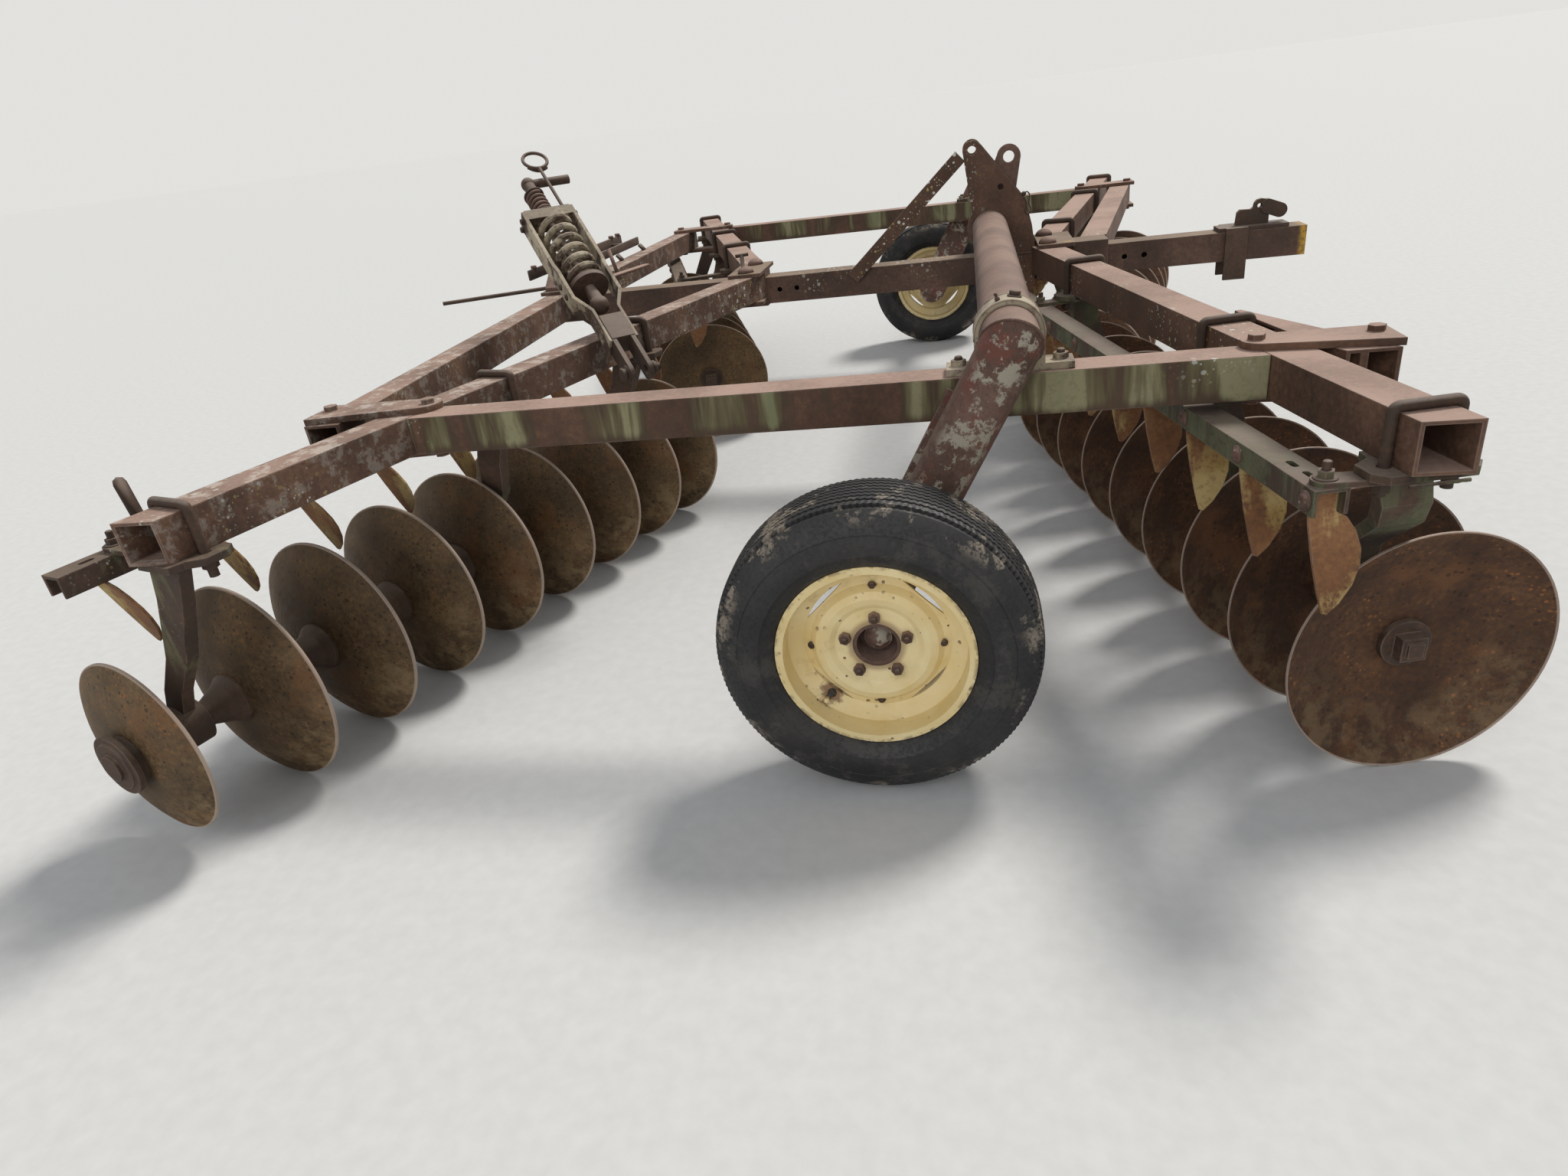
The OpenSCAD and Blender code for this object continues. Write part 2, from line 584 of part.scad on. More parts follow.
// Spool about the Z axis, from a disc's convex face at z = 0 to the next disc at z = spool_len
spool_len = disc_pitch - disc_t;
module spool() rotate_extrude()
    polygon([[0, 0], [bell_r, 0], [bell_r, 8], [bell_r - 12, 24], [neck_r, 62], [neck_r, spool_len - 40],
        [foot_r, spool_len - 14], [foot_r, spool_len], [0, spool_len]]);
bumper_r = 66;
bumper_h = 34;
module spools(e, s) gang_frame(e, s)
    // z runs from the outer concave face inward at the front, and the other way at the rear
    translate([0, 0, gang_z]) rotate([e == FRONT ? -90 : 90, 0, 0]) {
        first = -gang_half;
        flat = dish;
        for (i = [0 : count - 2])
            translate([0, 0, first + flat + disc_t + i * disc_pitch]) spool();
        // Square axle with its end washers and nuts
        translate([-axle_sq / 2, -axle_sq / 2, -gang_half + flat - 44])
            cube([axle_sq, axle_sq, 2 * gang_half + disc_t + 44 + 18]);
        // Washer and nut on the concave end
        translate([0, 0, -gang_half + flat - 14]) cylinder(r = 46, h = 14);
        box([46, 46, 24], [0, 0, -gang_half + flat - 26]);
        // Bumper on the convex end
        translate([0, 0, gang_half + flat + disc_t]) {
            cylinder(r = bumper_r - 14, h = bumper_h);
            translate([0, 0, bumper_h - 16]) cylinder(r = bumper_r, h = 12);
            translate([0, 0, bumper_h]) cylinder(r = axle_sq, h = 8);
        }
    }
module front_spools_right() color("#5a3b2e") spools(FRONT, RIGHT);
module front_spools_left() color("#5a3b2e") spools(FRONT, LEFT);
module rear_spools_right() color("#5a3b2e") spools(REAR, RIGHT);
module rear_spools_left() color("#5a3b2e") spools(REAR, LEFT);

// Straps that hold the rockshaft on the rails
foot_reach = 122;
module shaft_strap() difference() {
    union() {
        rotate([90, 0, 0]) cylinder(r = shaft_r + strap_t, h = strap_w, center = true);
        box([2 * (shaft_r + strap_t), strap_w, shaft_z - frame_z - half],
            [0, 0, -(shaft_z - frame_z - half) / 2]);
        box([2 * foot_reach, strap_w, 14], [0, 0, -(shaft_z - frame_z - half) + 7]);
        for (x = [-foot_reach + 24, foot_reach - 24])
            translate([x, 0, -(shaft_z - frame_z - half) + 14]) hex_head(15, 12);
    }
    rotate([90, 0, 0]) cylinder(r = shaft_r + journal_gap, h = strap_w + 2, center = true);
}
module shaft_straps() color("#7c6a4a") centred() for (y = [-rail_y, rail_y])
    translate([shaft_x, y, shaft_z]) shaft_strap();

// Mast: two plates beside the centre tube, through which the rockshaft passes
mast_top = [214, 1045];
mast_low = 575;
mast_r = 30;
// Foot of the mast's rear edge, above which the brace meets it
mast_heel = [229, 703];
module mast_outline() difference() {
    union() {
        polygon([mast_top - [mast_r, 0], mast_top + [mast_r * 0.9, mast_r * 0.5], [381, 882], [402, 800],
            [415, 702], [405, mast_low], [330, mast_low], [232, 623], mast_heel]);
        translate(mast_top) circle(r = mast_r);
    }
    translate(mast_top) circle(r = 14);
    translate([303, 927]) circle(r = 10);
    translate([shaft_x, shaft_z]) circle(r = shaft_r + journal_gap);
}
module mast() color("#5a372f") centred()
    for (y = [-centre_size / 2, centre_size / 2 + mast_t])
        translate([0, y, 0]) rotate([90, 0, 0]) linear_extrude(mast_t) mast_outline();
brace_low = [-190, centre_z + 30];
module mast_brace() color("#5a372f") centred() {
    a = [176, 1032];
    d = a - brace_low;
    difference() {
        translate([brace_low[0], -centre_size / 2, brace_low[1]])
            rotate([0, -atan2(d[1], d[0]), 0]) translate([-20, -mast_t, -22])
                cube([norm(d) + 20, mast_t, 44]);
        translate([0, -centre_size / 2 + 1, 0]) rotate([90, 0, 0]) linear_extrude(mast_t + 2)
            polygon([[mast_top[0] - mast_r, mast_top[1] + 100], mast_top - [mast_r, 0], mast_heel,
                [mast_top[0] + 100, mast_heel[1]], mast_top + [100, 100]]);
    }
}

// Rockshaft and its lever. Each end meets its wheel arm in a mitre, like a pipe's elbow
shaft_wall = 9;
arm_clear = 7;
arm_mid_y = rail_out + arm_clear + shaft_r;
arm_dx = shaft_x;
arm_dz = shaft_z - axle_z;
arm_len = sqrt(arm_dx * arm_dx + arm_dz * arm_dz);
arm_tilt = atan2(arm_dx, arm_dz);
// Local frame of a wheel arm: -Z runs down the arm from the rockshaft's axis, -Y outward
module arm_frame(s) centred() on_side(s)
    translate([shaft_x, -arm_mid_y, shaft_z]) rotate([0, arm_tilt, 0]) children();
// Everything on the arm's side of the mitre
mitre_reach = 2 * arm_len;
module mitre_half() rotate([-45, 0, 0])
    translate([-mitre_reach, -mitre_reach, -2 * mitre_reach]) cube(2 * mitre_reach);
module rockshaft() color("#7a5048") difference() {
    centred() translate([shaft_x, 0, shaft_z]) rotate([90, 0, 0]) difference() {
        cylinder(r = shaft_r, h = 2 * (arm_mid_y + shaft_r), center = true);
        cylinder(r = shaft_r - shaft_wall, h = 2 * (arm_mid_y + shaft_r) + 2, center = true);
    }
    for (s = [RIGHT, LEFT]) arm_frame(s) mitre_half();
}
module lift_lever() color("#553a30") centred() translate([shaft_x, 0, shaft_z]) rotate([90, 0, 0])
    difference() {
        union() {
            cylinder(r = shaft_r + 16, h = lever_t, center = true);
            translate([eye_fwd, eye_up, 0]) cylinder(r = eye_r + 20, h = lever_t, center = true);
            linear_extrude(lever_t, center = true)
                polygon([[-shaft_r - 14, 8], [eye_fwd - 37, eye_up + 8], [eye_fwd + 37, eye_up - 8],
                    [shaft_r + 14, 8]]);
        }
        cylinder(r = shaft_r + 0.1, h = lever_t + 2, center = true);
        translate([eye_fwd, eye_up, 0]) cylinder(r = eye_r, h = lever_t + 2, center = true);
    }

// Wheel arms with their spindles
hub_in_y = wheel_y - 66;
arm_end_r = shaft_r + 3;
spindle_end = -8;
module wheel_arm(s) {
    arm_frame(s) {
        intersection() {
            translate([0, 0, -arm_len]) cylinder(r = shaft_r, h = arm_len + 2 * shaft_r);
            mitre_half();
        }
        translate([0, 0, -arm_len]) rotate([90, 0, 0])
            cylinder(r = arm_end_r, h = 1.8 * shaft_r, center = true);
        translate([-arm_bar_w / 2, shaft_r - arm_bar_t + 1.5, -arm_len - 20])
            cube([arm_bar_w, arm_bar_t, arm_len - 2 * shaft_r]);
    }
    centred() on_side(s) translate([0, -arm_mid_y, axle_z]) rotate([90, 0, 0]) {
        cylinder(r = spindle_r + 14, h = hub_in_y - arm_mid_y - 1);
        cylinder(r = spindle_r, h = wheel_y + spindle_end - arm_mid_y);
        translate([0, 0, wheel_y + spindle_end - arm_mid_y - 12]) cylinder(r = spindle_nut_r, h = 14);
        translate([0, 0, wheel_y + spindle_end - arm_mid_y + 2]) dome(spindle_nut_r - 2, 12);
    }
}
module wheel_arm_right() color("#6d4238") wheel_arm(RIGHT);
module wheel_arm_left() color("#6d4238") wheel_arm(LEFT);

// Wheels about the Y axis, outward along -Y for the right-hand wheel
module wheel_frame(s) centred() on_side(s) translate([0, -wheel_y, axle_z]) rotate([90, 0, 0]) children();
face = 22;
hub_len = 66;
recess_r = pilot_r - 7;
recess_in = 24;
lug_hole_gap = 0.3;
module hub() difference() {
    union() {
        translate([0, 0, -hub_len]) cylinder(r = 42, h = hub_len + face);
        translate([0, 0, face - 14]) cylinder(r = lug_circle_r + 16, h = 14);
        cylinder(r = pilot_r, h = face + rim_t - 1);
        for (i = [0 : 4]) rotate([0, 0, 72 * i + 18]) translate([lug_circle_r, 0, 0]) {
            translate([0, 0, face + rim_t]) hex_head(12, 12);
            cylinder(r = 6, h = face + rim_t + 2);
        }
    }
    translate([0, 0, -hub_len - 1]) cylinder(r = spindle_r + journal_gap, h = hub_len + face);
    translate([0, 0, -recess_in]) cylinder(r = recess_r, h = recess_in + face + rim_t);
}
module hub_right() color("#6a4a3a") wheel_frame(RIGHT) hub();
module hub_left() color("#6a4a3a") wheel_frame(LEFT) hub();

rim_half = 76;
seat_r = flange_r - flange_h;
well_r = seat_r - 30;
// The disc is cut straight in four places, which leaves slots along the rim's well
disc_chord = well_r - 15;
ring_in = lug_circle_r + 18;
module rim_barrel() rotate_extrude($fn = 96)
    polygon([[flange_r, -rim_half], [flange_r, -rim_half + rim_t], [seat_r + rim_t, -rim_half + rim_t + 2],
        [seat_r, -rim_half + 40], [well_r, -rim_half + 52], [well_r, 10], [seat_r, 26],
        [seat_r + rim_t, rim_half - rim_t - 2], [flange_r, rim_half - rim_t], [flange_r, rim_half],
        [seat_r - 2, rim_half], [seat_r - rim_t, 30], [well_r - rim_t, 14], [well_r - rim_t, -rim_half + 48],
        [seat_r - rim_t, -rim_half + 36], [seat_r - 2, -rim_half]]);
module rim_disc() difference() {
    rotate_extrude($fn = 96)
        polygon([[pilot_r + seat_gap, face], [ring_in + 2, face], [ring_in + 12, face + 6], [ring_in + 23, face + 9],
            [ring_in + 34, face + 4], [ring_in + 46, face - 10], [well_r - rim_t + 1, face - 14],
            [well_r - rim_t + 1, face - 9], [ring_in + 48, face - 4], [ring_in + 37, face + 9],
            [ring_in + 23, face + 15], [ring_in + 10, face + 11.5], [ring_in, face + rim_t],
            [pilot_r + seat_gap, face + rim_t]]);
    for (i = [0 : 4]) rotate([0, 0, 72 * i + 18])
        translate([lug_circle_r, 0, face - 1]) cylinder(r = 6 + lug_hole_gap, h = rim_t + 2);
    for (i = [0 : 3]) rotate([0, 0, 45 + 90 * i])
        translate([disc_chord, -well_r / 2, 0]) cube([well_r, well_r, 2 * face]);
}
module rim() { rim_barrel(); rim_disc(); }
module rim_right() color("#d9cf8f") wheel_frame(RIGHT) rim();
module rim_left() color("#d9cf8f") wheel_frame(LEFT) rim();

tyre_wall = 16;
module tyre() {
    w = tyre_w / 2;
    b = rim_half - rim_t - 1;
    t = tyre_wall;
    // Radius at a share of the sidewall's height
    function up(q) = flange_r + q * (tyre_r - flange_r);
    bead = flange_r + seat_gap;
    rotate_extrude($fn = 96) polygon([[bead, -b - 4], [up(0.14), -w + 6], [up(0.354), -w], [up(0.6), -w + 3],
        [up(0.83), -w + 16], [up(0.938), -w + 30], [tyre_r - 1, -w + 50], [tyre_r, 0], [tyre_r - 1, w - 50],
        [up(0.938), w - 30], [up(0.83), w - 16], [up(0.6), w - 3], [up(0.354), w], [up(0.14), w - 6], [bead, b + 4],
        [bead, b], [seat_r + rim_t + 1, b - 2], [seat_r + 3, b - 30], [seat_r + t, b - 34],
        [up(0.354), w - t], [up(0.75), w - t - 20], [tyre_r - t, 0], [up(0.75), -w + t + 20], [up(0.354), -w + t],
        [seat_r + t, -b + 34], [seat_r + 3, -b + 30], [seat_r + rim_t + 1, -b + 2], [bead, -b]]);
}
module tyre_right() color("#1c1c1e") wheel_frame(RIGHT) tyre();
module tyre_left() color("#1c1c1e") wheel_frame(LEFT) tyre();

// Spring leveller, leaning on the right rear beam
leveller_foot = [-687.4, -1053.9, 655.5];
leveller_head = [-1097.4, -563.9, 1120.5];
leveller_dir = leveller_head - leveller_foot;
leveller_az = atan2(leveller_dir[1], leveller_dir[0]);
leveller_el = asin(leveller_dir[2] / norm(leveller_dir));
module leveller_frame() centred() translate(leveller_foot)
    rotate([0, 90 - leveller_el, leveller_az]) children();
module coil(r, wire, z0, z1, turns) {
    n = round(turns * 20);
    sides = 8;
    ring = [for (i = [0 : n], j = [0 : sides - 1])
        let (a = 360 * turns * i / n, b = 360 * j / sides,
            out = wire / 2 * cos(b), up = wire / 2 * sin(b))
        [(r + out) * cos(a), (r + out) * sin(a), z0 + (z1 - z0) * i / n + up]];
    faces = concat([[for (j = [0 : sides - 1]) j]],
        [for (i = [0 : n - 1], j = [0 : sides - 1])
            [i * sides + j, (i + 1) * sides + j, (i + 1) * sides + (j + 1) % sides, i * sides + (j + 1) % sides]],
        [[for (j = [sides - 1 : -1 : 0]) n * sides + j]]);
    polyhedron(points = ring, faces = faces, convexity = 12);
}
// Places along the leveller, from the clevis hole up to the crank
crank_gap = 143;
block_h = 38;
frame_top = leveller_len - crank_gap;
spring_top = frame_top - block_h - spring_wire / 2 - 0.2;
seat_t = 14;
clevis_mid = 150;
clevis_len = 90;
// The screw's ball lies over the clevis, and the spring fills what is left under the cross block
ball_z = clevis_mid + clevis_len / 2 + 63.8;
spring_low = ball_z + 96;
screw_r = 11;
crank_r = 13;
side_t = 10;
side_w = 56;
side_low = 34;
side_mid = 64;
side_up = spring_r + spring_wire / 2 + 11;
module leveller_spring() color("#8d8568") leveller_frame()
    coil(spring_r, spring_wire, spring_low, spring_top, spring_turns);
module leveller_screw() color("#7a5a4a") leveller_frame() {
    translate([0, 0, ball_z]) cylinder(r = screw_r, h = leveller_len - ball_z);
    translate([0, 0, ball_z + 4]) sphere(r = 27);
    translate([0, 0, ball_z + 4])
        cylinder(r1 = 22, r2 = 16, h = spring_low - ball_z - seat_t - spring_wire / 2);
    translate([0, 0, spring_low - spring_wire / 2 - seat_t - 0.2])
        cylinder(r = spring_r + spring_wire / 2, h = seat_t);
    translate([0, 0, leveller_len - 40]) cylinder(r = 18, h = 30);
    translate([0, 0, leveller_len]) sphere(r = 21);
    translate([0, 0, leveller_len]) rotate([90, 0, 0]) cylinder(r = crank_r, h = 128);
}
module leveller_arms() color("#b9b68c") leveller_frame() {
    for (s = [-1, 1]) {
        rotate([90, 0, 90]) linear_extrude(side_w, center = true)
            polygon([[s * side_low, 100], [s * side_low, 226], [s * side_mid, 286], [s * side_mid, 396],
                [s * side_up, 420], [s * side_up, frame_top - 4], [s * (side_up + side_t), frame_top - 4],
                [s * (side_up + side_t), 416], [s * (side_mid + side_t), 392], [s * (side_mid + side_t), 282],
                [s * (side_low + 8), 222], [s * (side_low + 8), 100]]);
    }
    // Cross block over the large spring
    difference() {
        box([side_w, 2 * side_up + 2, block_h], [0, 0, frame_top - block_h / 2]);
        translate([0, 0, frame_top - block_h - 1]) cylinder(r = screw_r + 1, h = block_h + 2);
    }
}
fork_r = 28;
fork_t = 12;
fork_y = 27;
module leveller_clevis() color("#6a5148") leveller_frame() difference() {
    union() {
        box([60, 2 * (fork_y + fork_t / 2), clevis_len], [0, 0, clevis_mid]);
        for (y = [-fork_y, fork_y]) {
            box([2 * fork_r, fork_t, 120], [0, y, 60]);
            translate([0, y, 0]) rotate([90, 0, 0]) cylinder(r = fork_r, h = fork_t, center = true);
        }
    }
    rotate([90, 0, 0]) cylinder(r = 14, h = 100, center = true);
}

// Wire loop that carries the hoses
module hose_loop() color("#3c3a38") leveller_frame() translate([-24, -50, frame_top + 0.2]) {
    cylinder(r = 5, h = 180);
    translate([0, 0, 180 + 36]) rotate([0, 90, 0]) rotate_extrude() translate([36, 0]) circle(r = 5);
}

// Anchor clamped round the front end of the centre tube, with its pivot tab
anchor_x = 1024;
anchor_len = 66;
anchor_t = 12;
tab_t = 16;
tab_r = 22;
tab_len = 40;
bracket_eye = [anchor_x + 92, centre_z + centre_size / 2 + anchor_t + 56];
bracket_eye_r = 7;
module front_bracket() color("#4a3a34") centred() {
    z = centre_z + centre_size / 2;
    side = centre_size / 2 + seat_gap;
    for (y = [-side - anchor_t / 2, side + anchor_t / 2])
        box([anchor_len, anchor_t, 154], [anchor_x + anchor_len / 2 - 14, y, z - 71]);
    box([anchor_len, 2 * (side + anchor_t), anchor_t],
        [anchor_x + anchor_len / 2 - 14, 0, z - centre_size - seat_gap - anchor_t / 2]);
    box([210, centre_size - 10, anchor_t], [anchor_x + 72, 0, z + seat_gap + anchor_t / 2]);
    box([anchor_len, 2 * (side + anchor_t), anchor_t],
        [anchor_x + anchor_len / 2 - 14, 0, z + seat_gap + anchor_t / 2]);
    // Upright plate with a neck, and a leaning tab with round ends beside its pin hole
    difference() {
        union() {
            translate([0, tab_t / 2, z + anchor_t]) rotate([90, 0, 0]) linear_extrude(tab_t)
                polygon([for (q = [[22, -4], [26, 40], [34, 48], [66, 47], [74, 52], [77, 66],
                    [84, 74], [96, 77], [120, 72], [122, 50], [122, -4]]) [anchor_x + q[0], q[1]]]);
            translate([anchor_x + 116, 0, z + anchor_t + 52]) rotate([0, 22, 0]) rotate([90, 0, 0])
                linear_extrude(tab_t + 8, center = true) {
                    for (x = [0, tab_len]) translate([x, 0]) circle(r = tab_r);
                    translate([0, -tab_r]) square([tab_len, 2 * tab_r]);
                }
        }
        translate([bracket_eye[0], 0, bracket_eye[1]]) rotate([90, 0, 0])
            cylinder(r = bracket_eye_r, h = 60, center = true);
    }
}

// Thin rod behind the rear joint
module rear_rod() color("#4a3830") centred() {
    translate([-rod_x, -20, frame_z + half + 12 + rod_r + 0.2])
        rotate([0, -90, rod_turn]) cylinder(r = rod_r, h = rod_len);
}

rail_right();
rail_left();
centre_tube();
front_cross();
rear_cross();
front_joint_box();
front_corner_plates();
rear_corner_plates();
rear_joint_plates();
front_sleeve();
rear_sleeve();
front_beam_right();
front_beam_left();
rear_beam_right();
rear_beam_left();
front_standards_right();
front_standards_left();
rear_standards_right();
rear_standards_left();
front_u_bolts();
rear_u_bolts();
front_scraper_bar_right();
front_scraper_bar_left();
rear_scraper_bar_right();
rear_scraper_bar_left();
front_blades_right();
front_blades_left();
rear_blades_right();
rear_blades_left();
front_discs_right();
front_discs_left();
rear_discs_right();
rear_discs_left();
front_spools_right();
front_spools_left();
rear_spools_right();
rear_spools_left();
shaft_straps();
mast();
mast_brace();
rockshaft();
lift_lever();
wheel_arm_right();
wheel_arm_left();
hub_right();
hub_left();
rim_right();
rim_left();
tyre_right();
tyre_left();
leveller_arms();
leveller_spring();
leveller_screw();
leveller_clevis();
hose_loop();
front_bracket();
rear_rod();
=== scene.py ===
"""Looks for a tandem disc harrow: materials, small parts, floor, light and camera.

Metres, +X forward, +Y to the machine's left, +Z up.
"""
import json
import math

import bpy
import bmesh
from mathutils import Matrix, Vector
from mathutils import noise as mnoise


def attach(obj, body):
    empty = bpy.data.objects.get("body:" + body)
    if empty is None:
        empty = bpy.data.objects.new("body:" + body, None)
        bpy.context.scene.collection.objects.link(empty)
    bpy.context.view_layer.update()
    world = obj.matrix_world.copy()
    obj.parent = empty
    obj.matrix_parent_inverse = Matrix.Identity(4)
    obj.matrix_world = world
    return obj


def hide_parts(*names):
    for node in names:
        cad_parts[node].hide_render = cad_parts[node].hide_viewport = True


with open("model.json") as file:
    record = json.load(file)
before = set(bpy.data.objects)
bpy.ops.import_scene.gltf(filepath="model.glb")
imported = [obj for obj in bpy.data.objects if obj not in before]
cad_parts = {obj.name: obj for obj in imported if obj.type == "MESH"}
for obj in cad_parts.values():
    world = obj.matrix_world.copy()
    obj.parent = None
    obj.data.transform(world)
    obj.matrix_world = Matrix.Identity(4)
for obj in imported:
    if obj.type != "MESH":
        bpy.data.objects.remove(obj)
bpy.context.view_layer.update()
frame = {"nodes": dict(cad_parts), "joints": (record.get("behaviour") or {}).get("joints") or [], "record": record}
NODES = frame["nodes"]

# The joints give the places of the wheels' and gangs' axles and of the rockshaft's line
JOINT_AT = {joint["name"]: joint["pos_m"] for joint in frame["joints"]}
AXLE_X, AXLE_Y, AXLE_Z = JOINT_AT["wheel_right_spin"]
SHAFT_X, _, SHAFT_Z = JOINT_AT["lift"]
TYRE_R, DISC_R, END_DISC_R = AXLE_Z, JOINT_AT["gang_front_right_roll"][2], 0.197

# A right-hand part lies at -Y, and the left-hand one is its mirror image
RIGHT, LEFT = 1, -1
SIDES = {"right": RIGHT, "left": LEFT}

# A Mix node's sockets for vectors and for colours have the same names, so they are picked by number
VECTOR_A, VECTOR_B, VECTOR_OUT = 4, 5, 1
COLOUR_A, COLOUR_B, COLOUR_OUT = 6, 7, 2

# The higher this is, the fewer of the specks are large
SPECK_SPREAD = 2.5


# Node graphs for materials
class Graph:
    """A material's node tree with short calls for its layers."""

    def __init__(self, name):
        self.mat = bpy.data.materials.new(name)
        self.mat.use_nodes = True
        self.tree = self.mat.node_tree
        self.tree.nodes.clear()
        self.out = self.new("ShaderNodeOutputMaterial")
        self.shader = self.new("ShaderNodeBsdfPrincipled")
        self.link(self.shader.outputs["BSDF"], self.out.inputs["Surface"])
        self.coord = self.new("ShaderNodeTexCoord").outputs["Object"]

    def new(self, kind, **settings):
        made = self.tree.nodes.new(kind)
        for key, value in settings.items():
            setattr(made, key, value)
        return made

    def link(self, a, b):
        self.tree.links.new(a, b)

    def put(self, socket, value):
        """Links an output to a socket, or sets the socket; a tuple is a colour where the socket takes one."""
        if isinstance(value, bpy.types.NodeSocket):
            self.link(value, socket)
        elif isinstance(value, tuple) and socket.type == "RGBA":
            socket.default_value = (*value, 1.0)
        else:
            socket.default_value = value

    def mapped(self, stretch, offset):
        """The CAD frame's coordinates, stretched and then shifted."""
        mapping = self.new("ShaderNodeMapping")
        mapping.inputs["Scale"].default_value = stretch
        mapping.inputs["Location"].default_value = offset
        self.link(self.coord, mapping.inputs["Vector"])
        return mapping.outputs["Vector"]

    def noise(self, scale, detail, rough=0.55, stretch=(1, 1, 1), offset=(0, 0, 0), distortion=0.0):
        made = self.new("ShaderNodeTexNoise")
        self.link(self.mapped(stretch, offset), made.inputs["Vector"])
        made.inputs["Scale"].default_value = scale
        made.inputs["Detail"].default_value = detail
        made.inputs["Roughness"].default_value = rough
        made.inputs["Distortion"].default_value = distortion
        return made.outputs["Fac"]

    def spots(self, scale, radius, offset=(0, 0, 0)):
        """1 inside round specks of random size, 0 between them."""
        place = self.mapped((1, 1, 1), offset)
        warp = self.new("ShaderNodeTexNoise")
        self.link(place, warp.inputs["Vector"])
        warp.inputs["Scale"].default_value = scale * 2.5
        shift = self.new("ShaderNodeMix", data_type="VECTOR")
        shift.inputs["Factor"].default_value = 0.25 / scale
        self.link(place, shift.inputs[VECTOR_A])
        self.link(warp.outputs["Color"], shift.inputs[VECTOR_B])
        cells = self.new("ShaderNodeTexVoronoi")
        self.link(shift.outputs[VECTOR_OUT], cells.inputs["Vector"])
        cells.inputs["Scale"].default_value = scale
        tone = self.new("ShaderNodeSeparateColor")
        self.link(cells.outputs["Color"], tone.inputs["Color"])
        size = self.math("POWER", tone.outputs["Red"], SPECK_SPREAD)
        return self.math("LESS_THAN", cells.outputs["Distance"], self.times(size, radius))

    def math(self, kind, a, b=0.0):
        made = self.new("ShaderNodeMath", operation=kind)
        self.put(made.inputs[0], a)
        self.put(made.inputs[1], b)
        return made.outputs[0]

    def times(self, a, b):
        return self.math("MULTIPLY", a, b)

    def plus(self, a, b):
        return self.math("ADD", a, b)

    def sway(self, noise, reach):
        """Noise round 0.5 made into a push round 0."""
        return self.times(self.math("SUBTRACT", noise, 0.5), reach)

    def step(self, value, low, high, to=(0.0, 1.0)):
        """From to's first value at low to its second at high; low may be the higher one."""
        made = self.new("ShaderNodeMapRange", interpolation_type="SMOOTHSTEP")
        self.put(made.inputs["Value"], value)
        made.inputs["From Min"].default_value = low
        made.inputs["From Max"].default_value = high
        made.inputs["To Min"].default_value = to[0]
        made.inputs["To Max"].default_value = to[1]
        return made.outputs["Result"]

    def ramp(self, value, stops):
        made = self.new("ShaderNodeValToRGB")
        self.link(value, made.inputs["Fac"])
        stripe = made.color_ramp
        while len(stripe.elements) < len(stops):
            stripe.elements.new(0.5)
        for element, (place, colour) in zip(stripe.elements, stops):
            element.position = place
            element.color = (*colour, 1.0)
        return made.outputs["Color"]

    def mix(self, factor, a, b):
        made = self.new("ShaderNodeMix", data_type="RGBA")
        self.put(made.inputs["Factor"], factor)
        self.put(made.inputs[COLOUR_A], a)
        self.put(made.inputs[COLOUR_B], b)
        return made.outputs[COLOUR_OUT]

    def parts(self, vector):
        split = self.new("ShaderNodeSeparateXYZ")
        self.link(vector, split.inputs[0])
        return split.outputs

    def normal(self):
        return self.new("ShaderNodeNewGeometry").outputs["Normal"]

    def vector(self, kind, a, b=None):
        made = self.new("ShaderNodeVectorMath", operation=kind)
        for socket, value in zip(made.inputs, (a, b)):
            if value is not None:
                self.put(socket, value)
        return made.outputs["Value" if kind in ("DOT_PRODUCT", "LENGTH") else "Vector"]

    def from_point(self, point):
        return self.vector("LENGTH", self.vector("SUBTRACT", self.coord, tuple(point)))

    def from_line(self, point, along):
        """Distance from the line through a point."""
        reach = self.vector("SUBTRACT", self.coord, tuple(point))
        return self.vector("LENGTH", self.vector("CROSS_PRODUCT", reach, tuple(along)))

    def bump(self, value, strength, distance, edge=0.0):
        """Relief, over edges that look rounded to the given radius; returns 1 along those edges."""
        made = self.new("ShaderNodeBump")
        made.inputs["Strength"].default_value = strength
        made.inputs["Distance"].default_value = distance
        self.link(value, made.inputs["Height"])
        self.link(made.outputs["Normal"], self.shader.inputs["Normal"])
        if not edge:
            return None
        bevel = self.new("ShaderNodeBevel", samples=4)
        bevel.inputs["Radius"].default_value = edge
        self.link(bevel.outputs["Normal"], made.inputs["Normal"])
        return self.step(self.vector("DOT_PRODUCT", bevel.outputs["Normal"], self.normal()), 0.97, 0.84)

    def finish(self, colour, roughness, metallic=0.0):
        self.put(self.shader.inputs["Base Color"], colour)
        self.put(self.shader.inputs["Roughness"], roughness)
        self.shader.inputs["Metallic"].default_value = metallic
        return self.mat


